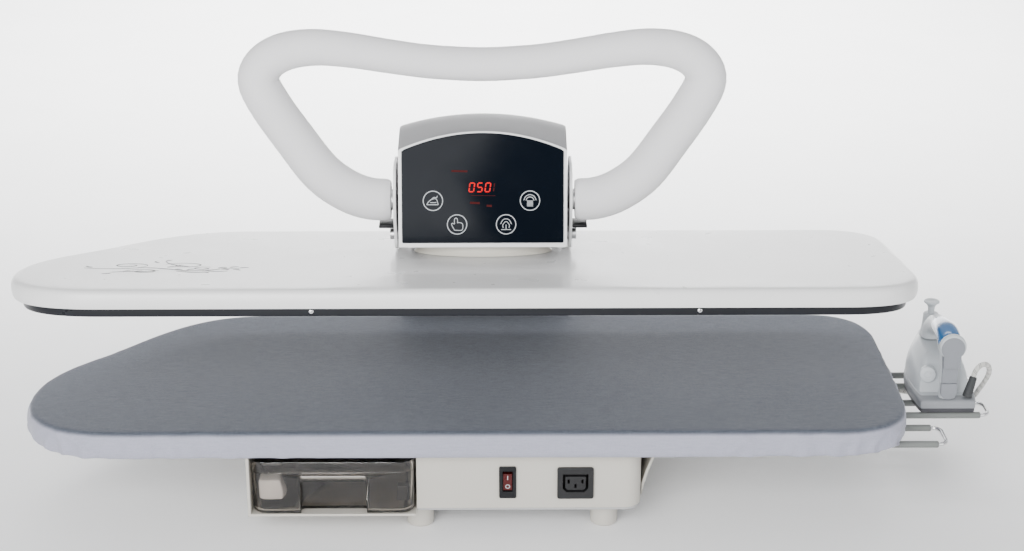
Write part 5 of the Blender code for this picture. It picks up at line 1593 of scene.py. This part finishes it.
@dataclass
class SteamIron:
    """The small steam iron: sole, skirt, shell, looped handle with its heel facing, and steam knob."""

    def plan(self, grow: float, cut_back: float = 0.0) -> list[Vector]:
        """Plan of the iron: flat heel, widest a third of the way along, pointed tip."""
        heel, wide, length = 29.5 + grow, 34 + grow, 152 + grow
        waist = (24 + grow, 108)
        right = [Vector((heel - 3, -grow)), Vector((heel - 0.9, 0.8 - grow)),
                 *bezier(((heel, 3 - grow), (heel + 2, 12), (wide, 30), (wide, 60)), 6),
                 *bezier(((wide, 60), (wide, 80), (27 + grow, 98), waist), 8),
                 *bezier((waist, (16 + grow, 132), (7, length), (0, length)), 14)]
        right = [Vector((p.x, cut_back + p.y * (1 - cut_back / length))) for p in right]
        return right + [Vector((0, length))] + [Vector((-p.x, p.y)) for p in reversed(right)]

    def ring(self, grow: float, z: float, cut_back: float = 0.0) -> list[Vector]:
        """A level ring of that plan."""
        return [on_iron(p.x, p.y, z) for p in self.plan(grow, cut_back)]

    def stack(self, rows: Sequence[Sequence[float]]) -> Shape:
        """Level rings joined up, from (grow, height, cut back) rows."""
        return Shape().loft([self.ring(*row) for row in rows])

    def limb(self, stations: Sequence[Sequence[float]]) -> Shape:
        """A limb lofted smoothly through (y, z, half width, half height, pitch) stations."""
        rings, sides = [], 40
        for y, z, half, tall, pitch in smooth_path(stations, 5):
            tilt = math.radians(pitch)
            ring = []
            for i in range(sides):
                turn = 2 * math.pi * i / sides
                across, up = half * math.cos(turn), tall * math.sin(turn)
                ring.append(on_iron(across, y - up * math.sin(tilt), z + up * math.cos(tilt)))
            rings.append(ring)
        return Shape().loft(rings)

    def hull(self) -> None:
        """Sole, skirt and shell."""
        sole = ((-1.5, 0), (-0.8, 0.4), (-0.5, 1.2), (-0.5, 4.5))
        self.stack(sole).build("iron_sole", SOLE_DARK, Body.IRON, ("iron_soleplate",), "dark_alloy")
        skirt = ((-0.4, 4.8), (0, 5.3), (0, 11.6), (-0.6, 13), (-2, 14))
        self.stack(skirt).build("iron_skirt", IRON_SKIRT, Body.IRON, ("iron_body",), "iron_grey")
        shell = ((-2.4, 14.05, 12), (-2.6, 14.4, 20), (-3.0, 18, 22), (-3.5, 22, 24), (-4.5, 26.5, 26),
                 (-6, 31, 29), (-7.8, 35.4, 32.6), (-10, 39, 37), (-13.2, 42, 42), (-17, 44, 48),
                 (-21, 44.6, 53))
        self.stack(shell).build("iron_shell", IRON_WHITE, Body.IRON, slot="iron_shell")
        patch = Shape()
        for k in range(9):
            low = Vector((-1.0 + 1.8 * k, 5.6 + 0.85 * k))
            patch.stroke([low, low + Vector((4.6, 5.2 - 0.45 * k))], 0.7, self.on_left_heel)
        patch.build("skirt_ribs", IRON_GREY, Body.IRON, slot="iron_grey")
        dial = Shape().turned(on_iron(-17, 31, 32), on_iron(-0.25, -1, 0.2) - on_iron(0, 0, 0),
                              ((8.6, -6), (8.6, 4.6), (8.2, 5.4), (7.2, 5.8), (3.6, 5.8), (3.2, 5.4)), 40)
        dial.build("heat_dial", IRON_WHITE, Body.IRON, slot="iron_shell")

    def on_left_heel(self, across: float, z: float, lift: float) -> Vector:
        """A place on the left side of the skirt, measured from the heel."""
        return on_iron(-29.6 - across * 0.16 - lift, 2 + across, z)

    def handle(self) -> None:
        """Looped handle, knob post, blue window, end ring and the three heel facings."""
        stations = ((10, 14.4, 8.8, 6.5, 90), (10, 34, 9.2, 6.5, 90), (11, 54, 9.8, 7.5, 80),
                    (18, 72, 12, 10, 40), (34, 79, 11.5, 9.5, 6), (62, 75, 10.5, 9.5, -8),
                    (84, 69, 10, 10, -20), (99, 58, 10.5, 10, -62), (103, 46, 11.1, 9.6, -90))
        self.limb(stations).build("iron_loop", IRON_WHITE, Body.IRON, ("iron_handle",), "iron_shell")
        post = ((11.6, 44.4), (10.6, 48), (9.4, 54), (8.8, 60), (8.5, 66), (8.3, 69), (7.6, 70), (4.3, 70.2))
        Shape().turned(on_iron(0, 112, 0), UP, post, 48).build(
            "knob_post", IRON_WHITE, Body.IRON, slot="iron_shell")
        window = ((15, 73, 12.2, 9.6, 44), (21, 77.2, 12.6, 9.4, 30), (34, 79.8, 12.4, 9.8, 6),
                  (50, 77.8, 11.6, 9.9, -4), (62, 75.6, 10.4, 9.6, -8), (68, 74.4, 8.6, 8.2, -10))
        self.limb(window).build("blue_window", BLUE_WINDOW, Body.IRON, slot="iron_shell")
        cap = Shape().turned(on_iron(0, 0, 75.5), on_iron(0, -1, 0) - on_iron(0, 0, 0),
                             ((13, -3.4), (14.2, -1.6), (14.2, 1), (13.6, 2.2), (12.6, 2.8), (11, 3)), 56)
        cap.build("handle_end_ring", IRON_WHITE, Body.IRON, ("iron_handle_cap",), "iron_grey")
        side = [Vector((8.6, 52)), Vector((8.7, 56)), Vector((9.4, 61))]
        neck = [*side, *arc((0, 74.5), 12.4, -42, 222, 40), *[Vector((-p.x, p.y)) for p in side[::-1]]]
        middle = rounded_rectangle((-8.2, 33), (8.2, 51.6), (1.2,) * 4)
        lower = rounded_rectangle((-8.6, 14.6), (8.6, 32.6), (7.8, 7.8, 1.2, 1.2))
        for name, outline, near in (("upper", neck, -3.6), ("middle", middle, 2.4), ("lower", lower, 1.6)):
            self.facing(f"heel_facing_{name}", outline, near, 6.0)

    def facing(self, name: str, outline: Sequence[Vector], near: float, far: float) -> None:
        """One grey plate on the rear of the handle, between two depths."""
        rings = [[on_iron(p.x, y, p.y) for p in offset(outline, grow)]
                 for grow, y in ((0, far), (0, near + 0.7), (-0.25, near + 0.2), (-0.8, near))]
        Shape().loft(rings).build(name, IRON_GREY, Body.IRON, slot="iron_grey")

    def knob(self) -> None:
        """Flared steam button."""
        profile = ((3.6, 58), (3.6, 74), (3.9, 77), (4.9, 79.4), (6.6, 81.4), (8.4, 82.6), (8.6, 83.4),
                   (8.2, 84.2), (7.4, 84.6), (5, 84.2), (2, 83.8))
        Shape().turned(on_iron(0, 112, 0), UP, profile, 48).build(
            "steam_knob", IRON_WHITE, Body.KNOB, ("iron_knob",), "iron_shell")

    def build(self) -> None:
        """Make the whole iron."""
        self.hull()
        self.handle()
        self.knob()


# ---------------------------------------------------------------- assembly

def main() -> None:
    """Build every part in order, logging a few sizes on the way."""
    logging.basicConfig(level=logging.INFO, format="%(message)s")
    Studio().build()
    for part in (IronCord(), Base(), WaterTank(), Board(), IronRest(), RearHinge(), LeverArm(), PressPlate(),
                 ControlHead(), SteamIron()):
        log.info("start %s", type(part).__name__)
        part.build()


if __name__ == "__main__":
    main()
